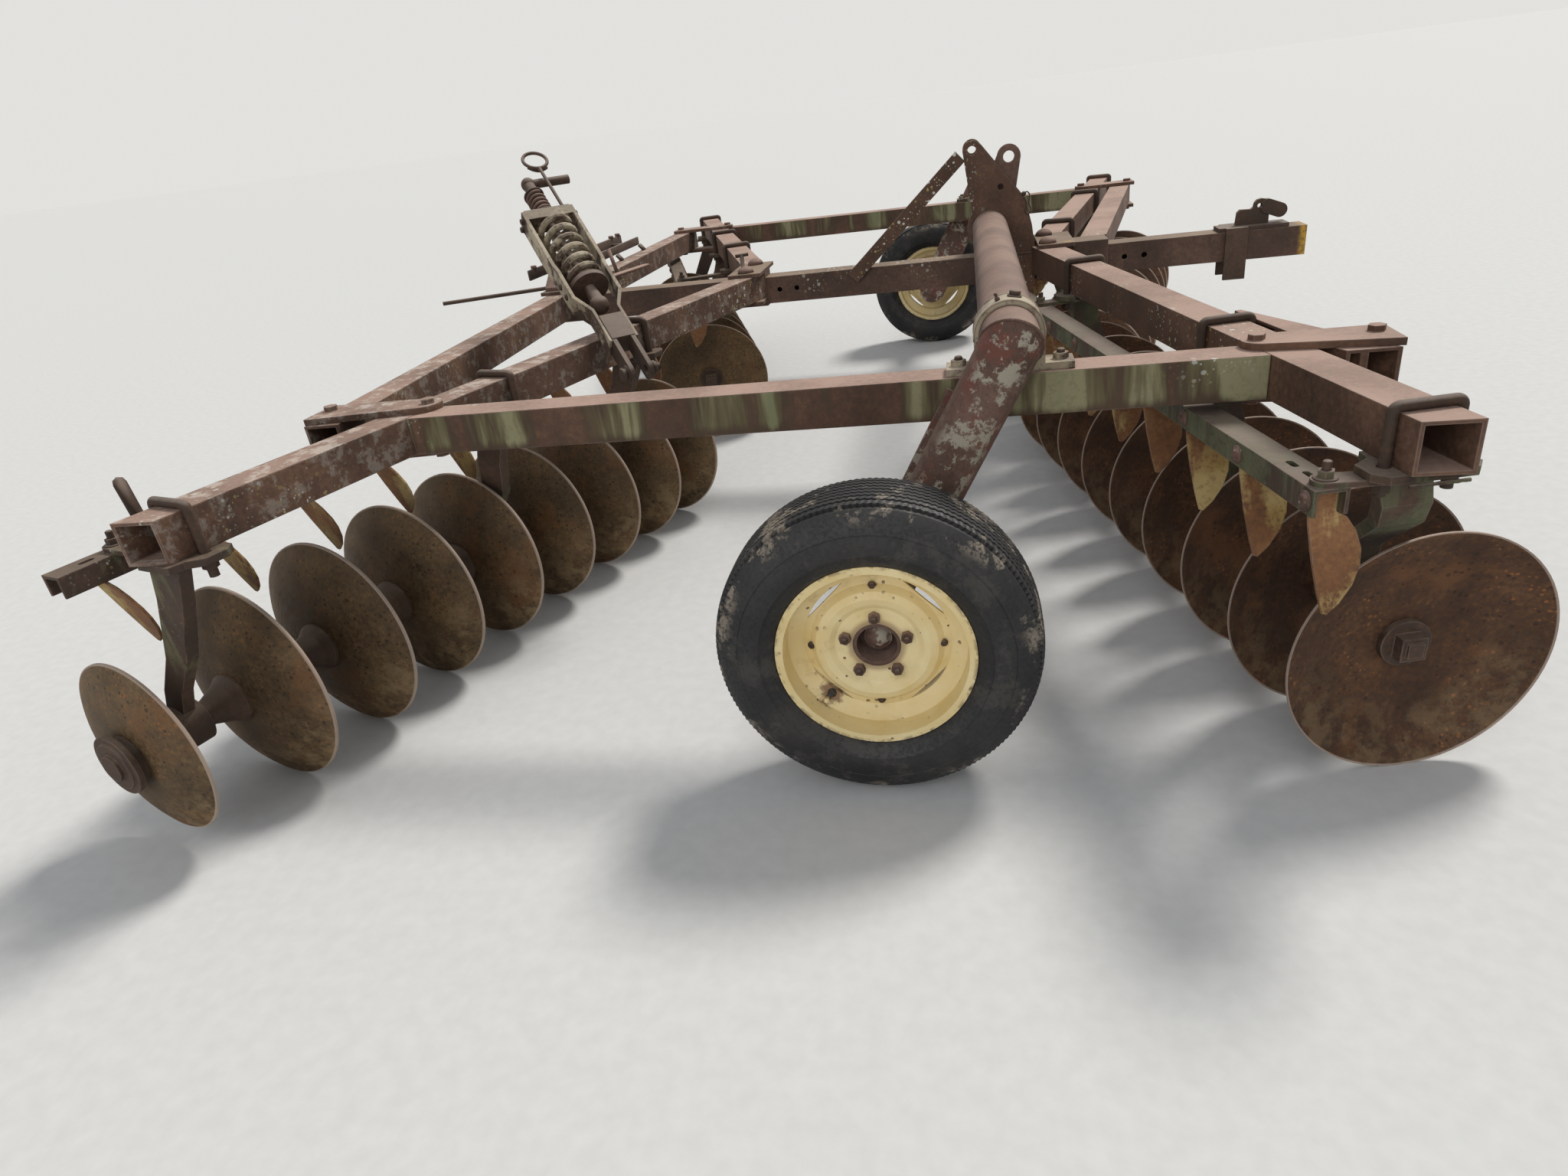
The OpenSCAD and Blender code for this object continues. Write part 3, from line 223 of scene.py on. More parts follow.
# Linear colours; a rust's three run from its darkest to its lightest
RUST = ((0.042, 0.023, 0.015), (0.096, 0.051, 0.032), (0.172, 0.092, 0.058))
DARK_RUST = ((0.027, 0.018, 0.013), (0.062, 0.037, 0.025), (0.115, 0.068, 0.045))
MID_RUST = ((0.035, 0.021, 0.015), (0.082, 0.047, 0.033), (0.150, 0.087, 0.059))
MAUVE_RUST = ((0.052, 0.029, 0.021), (0.108, 0.062, 0.046), (0.185, 0.113, 0.086))
YELLOW_RUST = ((0.10, 0.045, 0.020), (0.21, 0.095, 0.040), (0.31, 0.16, 0.07))
DISC_RUST = {"front": ((0.034, 0.017, 0.010), (0.074, 0.036, 0.019), (0.145, 0.073, 0.036)),
             "rear": ((0.048, 0.030, 0.015), (0.105, 0.066, 0.033), (0.190, 0.122, 0.060))}
# The pink dust colour is partly dust and partly painted sunlight on the tops it is laid on
PINK_DUST_AND_TOP_LIGHT, TAN_DUST, BROWN_DUST = (0.42, 0.290, 0.232), (0.29, 0.215, 0.15), (0.25, 0.19, 0.14)
# The bright edge colour is worn steel with a painted glint of light on it
RUBBED_EDGE, BRIGHT_EDGE_AND_GLINT = (0.46, 0.345, 0.285), (0.50, 0.40, 0.33)
WHITE_LICHEN, GREY_LICHEN, YELLOW_LICHEN = (0.62, 0.62, 0.55), (0.58, 0.57, 0.50), (0.55, 0.45, 0.12)
LICHEN_CRUST = (0.52, 0.50, 0.44)
BROWN_RUN, OLIVE = (0.058, 0.042, 0.025), (0.135, 0.118, 0.058)
PALE_GREEN, DEEP_GREEN = (0.275, 0.255, 0.145), (0.115, 0.150, 0.070)
FADED_GREEN, MARK_YELLOW = (0.125, 0.130, 0.070), (0.55, 0.32, 0.045)
FLAKE_RED, FLAKE_PALE = (0.155, 0.052, 0.036), (0.36, 0.325, 0.255)


def shifted(seed):
    """Where a material reads its noise, so that no two are alike."""
    return (seed, seed * 0.7, seed * 1.3)


def old_paint(g, paint, under, cover, streak, seed, fine):
    """Where paint is left, and its colour, which is worn through to what is under it in places."""
    stretch = (1.0, 1.0, 0.16) if streak else (1.0, 1.0, 1.0)
    drips = g.noise(16.0, 5, 0.62, stretch=stretch, offset=shifted(seed), distortion=0.4)
    patch = g.noise(3.4, 4, 0.6, offset=(seed + 3, seed, 1))
    share = g.plus(g.times(drips, 0.5), g.times(patch, 0.5))
    share = g.plus(share, g.sway(fine, 0.16))
    left = g.step(share, 0.62 - 0.24 * cover, 0.70 - 0.24 * cover)
    coat = g.mix(g.step(g.noise(11.0, 3, 0.5, offset=(seed, 5, 2)), 0.4, 0.6), paint[0], paint[1])
    coat = g.mix(g.step(fine, 0.52, 0.68, (0.0, 0.5)), coat, under)
    return left, coat


def lichen_specks(g, colour, amount, seed):
    """White, grey and yellow specks in patches, which grow with the amount."""
    patch = g.noise(2.3, 3, 0.5, offset=(seed + 7, 2, seed))
    area = g.step(patch, 0.62 - amount * 0.25, 0.75 - amount * 0.25)
    kinds = ((58.0, 0.36, shifted(seed), 0.85, WHITE_LICHEN), (130.0, 0.34, (seed, 3, 1), 0.72, GREY_LICHEN),
             (75.0, 0.30, (4, seed, 2), 0.60, YELLOW_LICHEN))
    for scale, radius, offset, strength, tint in kinds:
        specks = g.times(g.spots(scale, radius, offset), area)
        colour = g.mix(g.times(specks, strength), colour, tint)
    return colour


def weathered(name, rust, dust_and_top_light, top_share, paint=None, cover=0.5, streak=True, lichen=0.0, seed=0.0,
              edge=0.004, worn=0.45, layers=()):
    """Rusted metal with what is left of its paint, dust on its tops together with painted sunlight that lightens
    them, lichen specks and worn edges.
    """
    g = Graph(name)
    broad = g.noise(5.0, 5, 0.6, offset=shifted(seed))
    fine = g.noise(85.0, 4, 0.7, offset=shifted(seed))
    grain = g.noise(420.0, 2, 0.6, offset=shifted(seed))
    tone = g.plus(g.times(broad, 0.55), g.times(fine, 0.45))
    colour = g.ramp(tone, [(0.34, rust[0]), (0.5, rust[1]), (0.64, rust[2])])
    height = g.plus(fine, g.times(grain, 0.5))
    if paint:
        left, coat = old_paint(g, paint, rust[0], cover, streak, seed, fine)
        colour = g.mix(left, colour, coat)
        height = g.plus(height, g.times(left, 0.35))
    for layer in layers:
        colour = layer(g, colour, fine)
    # The upper faces are lightened: partly settled dust, partly painted sunlight falling on the tops
    top = g.step(g.parts(g.normal())["Z"], 0.35, 0.8)
    dust_and_top_light_mask = g.times(top, g.step(tone, 0.36, 0.6, (top_share * 0.55, top_share)))
    colour = g.mix(dust_and_top_light_mask, colour, dust_and_top_light)
    if lichen:
        colour = lichen_specks(g, colour, lichen, seed)
    rough = g.step(fine, 0.3, 0.7, (0.62, 0.9))
    along = g.bump(height, 0.35, 0.0012, edge)
    rub = g.times(g.times(along, worn), g.step(broad, 0.38, 0.56))
    colour = g.mix(rub, colour, RUBBED_EDGE)
    g.shader.inputs["Specular IOR Level"].default_value = 0.35
    return g.finish(colour, rough)


def rail_green(g, colour, fine):
    """Upright patches of old green on the rails' sides, with brown runs between them."""
    place, facing = g.parts(g.coord), g.parts(g.normal())
    side = g.step(g.math("ABSOLUTE", facing["Y"]), 0.6, 0.9)
    columns = g.noise(9.5, 4, 0.58, stretch=(1, 1, 0.14), offset=(0.62, 0, 0), distortion=0.5)
    runs = g.noise(46.0, 3, 0.6, stretch=(1, 1, 0.07), offset=(3, 0, 1))
    stretch = g.noise(1.9, 2, 0.5, offset=(4.2, 1, 0))
    ahead = g.step(place["X"], 0.28, 0.55, (0.0, 0.075))
    amount = g.plus(g.plus(columns, ahead), g.sway(stretch, 0.22))
    amount = g.plus(amount, g.sway(runs, 0.16))
    low = g.plus(g.times(amount, 0.075), place["Z"])
    reach = g.times(side, g.step(low, 0.690, 0.712))
    dark = g.times(g.step(amount, 0.40, 0.48, (0.0, 0.65)), side)
    colour = g.mix(dark, colour, BROWN_RUN)
    margin = g.times(g.step(amount, 0.475, 0.555), reach)
    colour = g.mix(g.times(margin, 0.8), colour, OLIVE)
    pale = g.times(g.step(amount, 0.54, 0.62), g.times(reach, g.step(fine, 0.30, 0.55, (0.55, 0.9))))
    colour = g.mix(pale, colour, PALE_GREEN)
    cloud = g.noise(14.0, 3, 0.5, stretch=(1, 1, 0.3), offset=(8, 1, 0))
    core = g.times(g.step(cloud, 0.50, 0.60), pale)
    return g.mix(g.times(core, 0.55), colour, DEEP_GREEN)


def crust(g, colour, fine):
    """Grey-white lichen crust on the upper faces."""
    up = g.step(g.parts(g.normal())["Z"], 0.3, 0.8, (0.25, 1.0))
    patch = g.step(g.noise(21.0, 6, 0.75, offset=(6, 2, 9)), 0.50, 0.60)
    return g.mix(g.times(g.times(patch, up), 0.8), colour, LICHEN_CRUST)


def yellow_marks(g, colour, fine):
    """Old yellow paint on the centre tube's front end and a mark at the front joint."""
    mark_at = (0.745, -0.100, 0.742)
    end = g.step(g.parts(g.coord)["X"], 1.452, 1.470)
    end = g.times(end, g.step(fine, 0.40, 0.55, (0.35, 0.9)))
    mark = g.step(g.from_point(mark_at), 0.026, 0.014)
    mark = g.times(mark, g.step(fine, 0.42, 0.55))
    return g.mix(g.math("MAXIMUM", end, mark), colour, MARK_YELLOW)


def arm_flakes(g, colour, fine):
    """Pale flaking paint along the outer side of the wheel arms, with red beside it."""
    out = g.math("ABSOLUTE", g.parts(g.normal())["Y"])
    red = g.step(g.noise(13.0, 5, 0.65, offset=(2, 6, 1)), 0.50, 0.62, (0.0, 0.75))
    colour = g.mix(red, colour, FLAKE_RED)
    pale = g.step(g.noise(22.0, 6, 0.75, offset=(9, 4, 3)), 0.515, 0.575)
    pale = g.times(pale, g.step(out, 0.45, 0.85, (0.12, 0.9)))
    return g.mix(pale, colour, FLAKE_PALE)


def side_streaks(g, colour, fine):
    """Faded green runs down a bar's sides."""
    side = g.step(g.math("ABSOLUTE", g.parts(g.normal())["Z"]), 0.7, 0.3)
    runs = g.step(g.noise(20.0, 4, 0.6, stretch=(1, 1, 0.12), offset=(7, 3, 0)), 0.50, 0.60)
    return g.mix(g.times(g.times(runs, side), 0.55), colour, FADED_GREEN)


# The gangs as in the CAD: their angle in degrees, and how far ahead of its beam each lies
DISCS, PITCH = 9, 0.2286
GANG_HALF = (DISCS - 1) / 2 * PITCH
ANGLE = {"front": 12.0, "rear": -18.0}
GANG_OFF = {"front": 0.124, "rear": -0.204}


def at(x, y, z, turn_x=0.0, turn_y=0.0, turn_z=0.0):
    """A place, turned in degrees about X, then Y, then Z."""
    turn = Matrix.Rotation(math.radians(turn_z), 4, "Z") @ Matrix.Rotation(math.radians(turn_y), 4, "Y")
    return Matrix.Translation((x, y, z)) @ turn @ Matrix.Rotation(math.radians(turn_x), 4, "X")


def mirror(side):
    return Matrix.Diagonal((1, side, 1, 1))


def gang_place(row, side):
    """Local -Y runs outward along the gang, +X forward across it; the origin is under the gang's middle."""
    x, y, _ = JOINT_AT[f"gang_{row}_right_roll"]
    return mirror(side) @ at(x, y, 0, turn_z=ANGLE[row])


def beam_place(row, side):
    """The same, with the origin under the beam's middle line."""
    return gang_place(row, side) @ Matrix.Translation((-GANG_OFF[row], 0, 0))


def disc_material(row, side, word):
    """Dark rusty steel: golden dirt low down near the rims, orange freckles and thin bright edges, which are worn
    steel with a painted glint of light along them.
    """
    g = Graph(f"disc_rust_{row}_{word}")
    place = gang_place(row, side)
    middle = place @ Vector((0, 0, DISC_R))
    along = (place.to_3x3() @ Vector((0, -1, 0))).normalized()
    radius = g.from_line(middle, along)

    def rim(disc_r):
        return g.step(radius, disc_r - 0.0042, disc_r - 0.0022, (0.0, 0.6))

    broad = g.noise(7.0, 5, 0.62)
    fine = g.noise(95.0, 4, 0.7)
    tone = g.plus(g.times(broad, 0.5), g.times(fine, 0.5))
    colour = g.ramp(tone, list(zip((0.36, 0.5, 0.63), DISC_RUST[row])))
    bloom = g.step(g.noise(6.0, 5, 0.65, offset=(4, 9, 1)), 0.52, 0.66, (0.0, 0.45))
    colour = g.mix(bloom, colour, (0.185, 0.078, 0.030))
    freckle = g.times(g.spots(110.0, 0.42), g.step(broad, 0.45, 0.62))
    colour = g.mix(g.times(freckle, 0.7), colour, (0.30, 0.120, 0.040))
    dark = g.times(g.spots(95.0, 0.42, (3, 3, 3)), g.step(radius, 0.05, 0.12))
    colour = g.mix(g.times(dark, 0.6), colour, (0.022, 0.013, 0.009))
    low = g.step(g.parts(g.coord)["Z"], 0.30, 0.12)
    outer = g.times(g.step(radius, 0.10, 0.20), low)
    dirt = g.times(g.step(g.noise(17.0, 6, 0.72, offset=(2, 1, 4)), 0.44, 0.62), outer)
    colour = g.mix(g.times(dirt, 0.35 if row == "front" else 0.65), colour, (0.27, 0.190, 0.100))
    # Thin bright line round each rim: worn steel edge plus a painted glint
    colour = g.mix(rim(DISC_R), colour, BRIGHT_EDGE_AND_GLINT)
    # The rear gang's smaller end disc gets the same worn edge with a painted glint
    if row == "rear":
        outward = g.vector("DOT_PRODUCT", g.vector("SUBTRACT", g.coord, tuple(middle)), tuple(along))
        at_last = g.step(outward, GANG_HALF - 0.13, GANG_HALF - 0.12)
        colour = g.mix(g.times(at_last, rim(END_DISC_R)), colour, BRIGHT_EDGE_AND_GLINT)
    g.bump(g.plus(fine, g.noise(420.0, 2)), 0.3, 0.001)
    g.shader.inputs["Specular IOR Level"].default_value = 0.3
    return g.finish(colour, g.step(fine, 0.3, 0.7, (0.55, 0.85)), 0.15)


def wheel_place(side):
    """Local Z runs outward along the axle, local Y upward."""
    return mirror(side) @ at(AXLE_X, AXLE_Y, AXLE_Z, turn_x=90)


def around(radius, degrees, out):
    """A point about a wheel's axle."""
    a = math.radians(degrees)
    return Vector((radius * math.cos(a), radius * math.sin(a), out))


def rubber_material():
    """Black rubber with dry dirt on its shoulders."""
    g = Graph("tyre_rubber")
    radius = g.from_line((AXLE_X, 0, AXLE_Z), (0, 1, 0))
    broad = g.noise(9.0, 5, 0.6)
    fine = g.noise(140.0, 3, 0.7)
    colour = g.ramp(broad, [(0.35, (0.006, 0.006, 0.007)), (0.65, (0.016, 0.0155, 0.016))])
    film = g.step(g.noise(4.0, 4, 0.6, offset=(5, 1, 0)), 0.48, 0.72, (0.0, 0.16))
    colour = g.mix(film, colour, (0.10, 0.085, 0.07))
    shoulder = g.step(radius, 0.268, 0.292, (0.12, 1.0))
    mud = g.step(g.noise(11.0, 6, 0.72, offset=(1, 2, 3)), 0.52, 0.59)
    mud = g.times(g.times(mud, g.step(fine, 0.32, 0.55)), shoulder)
    colour = g.mix(g.times(mud, 0.75), colour, (0.30, 0.25, 0.195))
    g.bump(fine, 0.25, 0.0006)
    return g.finish(colour, g.step(fine, 0.3, 0.7, (0.5, 0.75)))


VALVE_R, VALVE_TURN = 0.150, 229


def wheel_paint():
    """Cream paint with rust blooms, chips and a stain round the valve."""
    g = Graph("wheel_cream")
    broad = g.noise(10.0, 5, 0.6)
    fine = g.noise(120.0, 4, 0.7)
    colour = g.ramp(broad, [(0.35, (0.74, 0.57, 0.26)), (0.65, (0.82, 0.68, 0.38))])
    stain = g.step(g.noise(8.0, 6, 0.7, offset=(3, 1, 0)), 0.56, 0.72, (0.0, 0.45))
    colour = g.mix(stain, colour, (0.36, 0.22, 0.08))
    radius = g.from_line((AXLE_X, 0, AXLE_Z), (0, 1, 0))
    grime = g.times(g.step(radius, 0.180, 0.188), g.step(g.noise(30.0, 4, 0.7), 0.45, 0.6))
    colour = g.mix(g.times(grime, 0.7), colour, (0.20, 0.13, 0.06))
    inner = g.times(g.step(radius, 0.062, 0.049), 0.6)
    colour = g.mix(inner, colour, (0.17, 0.075, 0.035))
    for side in SIDES.values():
        valve = wheel_place(side) @ around(VALVE_R, VALVE_TURN, 0.02)
        near = g.plus(g.from_point(valve), g.sway(g.noise(60.0, 4, 0.7), 0.05))
        colour = g.mix(g.step(near, 0.030, 0.016, (0.0, 0.85)), colour, (0.17, 0.070, 0.028))
    chips = g.times(g.spots(60.0, 0.30), g.step(broad, 0.42, 0.58))
    colour = g.mix(g.times(chips, 0.9), colour, (0.13, 0.055, 0.025))
    g.bump(g.plus(fine, g.times(chips, -0.6)), 0.2, 0.0008)
    return g.finish(colour, g.step(fine, 0.3, 0.7, (0.38, 0.6)))


# One material to a slot; the discs have one to a gang instead
MATERIALS = {
    "frame_paint": weathered("frame_rust", RUST, PINK_DUST_AND_TOP_LIGHT, 0.85, lichen=0.2, seed=2.0),
    "centre_paint": weathered("centre_rust", MID_RUST, TAN_DUST, 0.75, lichen=0.26, seed=5.0,
                              layers=(yellow_marks,)),
    "green_paint": weathered("faded_green", DARK_RUST, (0.250, 0.197, 0.162), 0.70,
                             paint=((0.060, 0.062, 0.033), (0.095, 0.092, 0.050)), cover=0.65,
                             lichen=0.08, seed=9.0, layers=(side_streaks,)),
    "rust_paint": weathered("brown_rust", DARK_RUST, BROWN_DUST, 0.5,
                            paint=((0.095, 0.085, 0.045), (0.13, 0.11, 0.06)), cover=0.35,
                            lichen=0.15, seed=12.0),
    "yellow_paint": weathered("worn_yellow", YELLOW_RUST, (0.40, 0.30, 0.18), 0.3,
                              paint=((0.36, 0.240, 0.080), (0.46, 0.335, 0.14)), cover=0.60, seed=15.0),
    "spool_iron": weathered("spool_rust", DARK_RUST, BROWN_DUST, 0.5, seed=18.0),
    "cream_green": weathered("cream_green", DARK_RUST, (0.44, 0.375, 0.285), 0.6,
                             paint=((0.30, 0.245, 0.165), (0.43, 0.365, 0.265)), cover=0.60, streak=False,
                             lichen=0.1, seed=21.0),
    "arm_paint": weathered("mauve_rust", MAUVE_RUST, PINK_DUST_AND_TOP_LIGHT, 0.45, lichen=0.1, seed=25.0, edge=0.003),
    "wheel_cream": wheel_paint(),
    "tyre": rubber_material(),
    "bare_rust": weathered("bare_rust", DARK_RUST, (0.29, 0.235, 0.195), 0.6, seed=30.0, edge=0.002,
                           worn=0.3),
}
RAIL_PAINT = weathered("rail_rust", RUST, PINK_DUST_AND_TOP_LIGHT, 0.9, lichen=0.15, edge=0.005, layers=(rail_green,))
CRUSTED = weathered("crusted_rust", RUST, PINK_DUST_AND_TOP_LIGHT, 0.6, lichen=0.45, seed=3.0, edge=0.005, layers=(crust,))
FLAKED = weathered("flaked_arm", MAUVE_RUST, PINK_DUST_AND_TOP_LIGHT, 0.4, seed=26.0, edge=0.003, layers=(arm_flakes,))
SPECKLED = weathered("speckled_rust", RUST, TAN_DUST, 0.6, lichen=0.60, seed=5.0, edge=0.003)
OWN_LOOK = {"rail_right": RAIL_PAINT, "rail_left": RAIL_PAINT, "rear_cross": CRUSTED,
            "rear_corner_plates": CRUSTED, "rear_beam_right": CRUSTED, "wheel_arm_right": FLAKED,
            "wheel_arm_left": FLAKED, "mast": SPECKLED, "mast_brace": SPECKLED}
for row in ANGLE:
    for word, side in SIDES.items():
        OWN_LOOK[f"{row}_discs_{word}"] = disc_material(row, side, word)
SLOT_OF = {s["node"]: s["material_slot"] for s in frame["record"]["subparts"]}
for node, obj in NODES.items():
    obj.data.materials.clear()
    obj.data.materials.append(OWN_LOOK.get(node) or MATERIALS[SLOT_OF[node]])


# Making pieces

# A lathe's ends close on this radius, and a bolt's washer is this thick
TIP, WASHER_T = 0.0001, 0.0022


def piece(name, verts, faces, body, slot, smooth=True, bevel=0.0):
    """One mesh object that rides on a body and wears a slot's material."""
    mesh = bpy.data.meshes.new(name)
    mesh.from_pydata([tuple(v) for v in verts], [], faces)
    work = bmesh.new()
    work.from_mesh(mesh)
    bmesh.ops.recalc_face_normals(work, faces=work.faces)
    work.to_mesh(mesh)
    work.free()
    if smooth:
        mesh.shade_smooth()
    obj = bpy.data.objects.new(name, mesh)
    bpy.context.scene.collection.objects.link(obj)
    mesh.materials.append(MATERIALS[slot])
    if bevel:
        edge = obj.modifiers.new("edge", "BEVEL")
        edge.width = bevel
        edge.segments = 2
        edge.limit_method = "ANGLE"
    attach(obj, body)
    return obj


def band(a, b, n):
    """Quads between two rings of n points, which start at points a and b."""
    return [(a + i, a + (i + 1) % n, b + (i + 1) % n, b + i) for i in range(n)]


class Build:
    """Collects the faces of several small forms into one mesh."""

    def __init__(self, matrix=None):
        self.verts, self.faces = [], []
        self.matrix = matrix or Matrix.Identity(4)

    def add(self, verts, faces, matrix=None):
        place = self.matrix @ matrix if matrix is not None else self.matrix
        base = len(self.verts)
        self.verts += [place @ Vector(v) for v in verts]
        self.faces += [tuple(base + i for i in f) for f in faces]

    def lathe(self, profile, steps, matrix=None, closed=False):
        """Profile points (radius, height) turned about Z; closed joins the last to the first."""
        n = len(profile)
        verts = [(r * math.cos(2 * math.pi * k / steps), r * math.sin(2 * math.pi * k / steps), z)
                 for k in range(steps) for r, z in profile]
        faces = []
        for k in range(steps):
            a, b = k * n, (k + 1) % steps * n
            for i in range(n if closed else n - 1):
                j = (i + 1) % n
                faces.append((a + i, b + i, b + j, a + j))
        self.add(verts, faces, matrix)

    def prism(self, outline, low, high, matrix):
        """Outline points (x, y) pulled from z = low to z = high."""
        n = len(outline)
        verts = [(x, y, low) for x, y in outline] + [(x, y, high) for x, y in outline]
        faces = [tuple(range(n))[::-1], tuple(range(n, 2 * n))]
        faces += band(0, n, n)
        self.add(verts, faces, matrix)

    def washer(self, matrix, radius, thick=WASHER_T, steps=24):
        """A plain disc, as a bolt's head hides its hole."""
        self.lathe([(TIP, 0), (radius, 0), (radius, thick), (TIP, thick)], steps, matrix)

    def hex_bolt(self, matrix, across, height, washer=0.0, shank=0.0):
        """Chamfered hexagon head, on a washer if that has a radius, with a threaded end as long as shank."""
        r = across / math.sqrt(3)
        chamfer, thread = 0.86, 0.56
        if washer:
            self.washer(matrix, washer)
        lift = WASHER_T if washer else 0.0
        top = lift + height
        ring = [(r * math.cos(math.radians(60 * k)), r * math.sin(math.radians(60 * k))) for k in range(6)]
        verts = [(x, y, lift) for x, y in ring] + [(x, y, lift + height * chamfer) for x, y in ring]
        verts += [(x * chamfer, y * chamfer, top) for x, y in ring]
        faces = [tuple(range(6))[::-1], tuple(range(12, 18))]
        faces += band(0, 6, 6) + band(6, 12, 6)
        self.add(verts, faces, matrix)
        if shank:
            t = r * thread
            rings = [(t if k % 2 else t * 0.9, top + shank * k / 12) for k in range(12)]
            self.lathe([(TIP, top)] + rings + [(t * 0.8, top + shank), (TIP, top + shank)], 16, matrix)

    def tube(self, path, radius, sides):
        """A round bar along a list of points."""
        pts = [Vector(q) for q in path]
        last = len(pts) - 1
        normal = None
        verts = []
        for i, q in enumerate(pts):
            along = (pts[min(i + 1, last)] - pts[max(i - 1, 0)]).normalized()
            if normal is None:
                normal = along.orthogonal().normalized()
            normal = (normal - along * normal.dot(along)).normalized()
            across = along.cross(normal)
            for k in range(sides):
                a = 2 * math.pi * k / sides
                verts.append(q + radius * (math.cos(a) * normal + math.sin(a) * across))
        faces = []
        for a in range(0, last * sides, sides):
            faces += band(a, a + sides, sides)
        faces += [tuple(range(sides))[::-1], tuple(range(last * sides, (last + 1) * sides))]
        self.add(verts, faces)

    def dome(self, matrix, radius, height, washer=0.0):
        """Round bolt head, on a washer if that has a radius."""
        base = 0.0025 if washer else 0.0
        if washer:
            self.washer(matrix, washer, base, 20)
        arc = [(radius * math.cos(a), base + height * math.sin(a)) for a in (0, 0.4, 0.8, 1.2)]
        self.lathe([(radius * 0.9, 0)] + arc + [(TIP, base + height)], 16, matrix)

    def flat_bar(self, a, b, wide, thick, up=(0, 0, 1)):
        """A flat bar from a to b, thick along up and wide across it."""
        a, b, up = Vector(a), Vector(b), Vector(up)
        along = (b - a).normalized()
        across = along.cross(up).normalized()
        up = across.cross(along)
        turn = Matrix((along, across, up)).transposed().to_4x4()
        n, w, r = (b - a).length, wide / 2, min(thick, wide) * 0.18
        outline = [(-w, -thick / 2 + r), (-w + r, -thick / 2), (w - r, -thick / 2), (w, -thick / 2 + r),
                   (w, thick / 2 - r), (w - r, thick / 2), (-w + r, thick / 2), (-w, thick / 2 - r)]
        verts = [(x, y, z) for x in (0, n) for y, z in outline]
        faces = [tuple(range(8))[::-1], tuple(range(8, 16))]
        faces += band(0, 8, 8)
        self.add(verts, faces, Matrix.Translation(a) @ turn)

    def bead(self, path, radius):
        """A weld: a ragged ridge along a path."""
        spacing, sides, raggedness = 0.006, 8, 160.0
        pts = [Vector(q) for q in path]
        line = []
        for a, b in zip(pts, pts[1:]):
            n = max(int((b - a).length / spacing), 2)
            line += [a.lerp(b, k / n) for k in range(n)]
        line.append(pts[-1])
        start = len(self.verts)
        self.tube(line, radius, sides)
        back = self.matrix.inverted()
        for k, q in enumerate(line):
            swell = 0.85 + 0.30 * mnoise.noise(q * raggedness) + (0.12 if k % 2 else 0.0)
            for i in range(start + k * sides, start + (k + 1) * sides):
                local = back @ self.verts[i]
                self.verts[i] = self.matrix @ (q + (local - q) * swell)

    def done(self, name, body, slot, **more):
        return piece(name, self.verts, self.faces, body, slot, **more)


def smooth_path(points):
    """A curve through the points."""
    steps = 6
    pts = [Vector(q) for q in points]
    line = []
    for i in range(len(pts) - 1):
        a, b, c, d = pts[max(i - 1, 0)], pts[i], pts[i + 1], pts[min(i + 2, len(pts) - 1)]
        square, cube = 2 * a - 5 * b + 4 * c - d, 3 * b - a - 3 * c + d
        for k in range(steps):
            t = k / steps
            line.append(0.5 * (2 * b + (c - a) * t + square * t * t + cube * t ** 3))
    return line + [pts[-1]]


# Turns an outline drawn in Y and Z, and pulled along X, into place
FACING_X = Matrix(((0, 0, 1, 0), (1, 0, 0, 0), (0, 1, 0, 0), (0, 0, 0, 1)))


# Wheels
def add_tyre(word, side):
    """Low sidewalls with fine moulded rings, and a tread of nine zigzag ribs."""
    ribs, pitch, flat, groove, zigzag = 9, 0.0142, 0.0044, 0.0056, 0.0021
    crown_drop, tread_half, slope = 0.0078, 0.067, 0.0009
    zigzags, wave = 156, (0.0, 1.0, 0.0, -1.0)
    steps = zigzags * len(wave)

    def crown(z):
        return TYRE_R - crown_drop * abs(z / tread_half) ** 4

    wall = [(0.1893, 0.074), (0.1925, 0.0785), (0.199, 0.085), (0.207, 0.0908), (0.2163, 0.0944),
            (0.2170, 0.0954), (0.2177, 0.0946), (0.2265, 0.0964), (0.236, 0.0969), (0.2465, 0.0960),
            (0.2572, 0.0944), (0.2580, 0.0952), (0.2588, 0.0938), (0.268, 0.0910), (0.277, 0.0872),
            (0.2855, 0.0822), (0.2925, 0.0768), (0.2985, 0.0710)]
    tread = []
    for k in range(ribs):
        mid = (k - (ribs - 1) / 2) * pitch
        for off, low in ((-flat - slope, groove), (-flat, 0.0), (flat, 0.0), (flat + slope, groove)):
            z = mid + off
            tread.append((crown(z) - low, z, 1.0))
    seat = [(0.1893, 0.070, 0.0), (0.182, 0.068, 0.0)]
    inner = [(0.179, 0.040, 0.0), (0.192, 0.036, 0.0), (0.232, 0.081, 0.0), (0.280, 0.061, 0.0)]
    outer_half = [(r, z, 0.0) for r, z in reversed(wall)] + seat + inner
    loop = [(r, -z, 0.0) for r, z in wall] + tread + outer_half
    loop += [(0.2945, 0.0, 0.0)] + [(r, -z, 0.0) for r, z, _ in reversed(seat + inner)]
    place = wheel_place(side)
    verts, faces = [], []
    n = len(loop)
    for k in range(steps):
        a = 2 * math.pi * k / steps
        shift = zigzag * wave[k % len(wave)]
        for r, z, moves in loop:
            verts.append(place @ Vector((r * math.cos(a), r * math.sin(a), z + shift * moves)))
    for k in range(steps):
        a, b = k * n, (k + 1) % steps * n
        faces += [(a + i, b + i, b + (i + 1) % n, a + (i + 1) % n) for i in range(n)]
    obj = piece("tread_tyre_" + word, verts, faces, "wheel_" + word, "tyre", smooth=False)
    obj.data.set_sharp_from_angle(angle=math.radians(38))
    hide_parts("tyre_" + word)


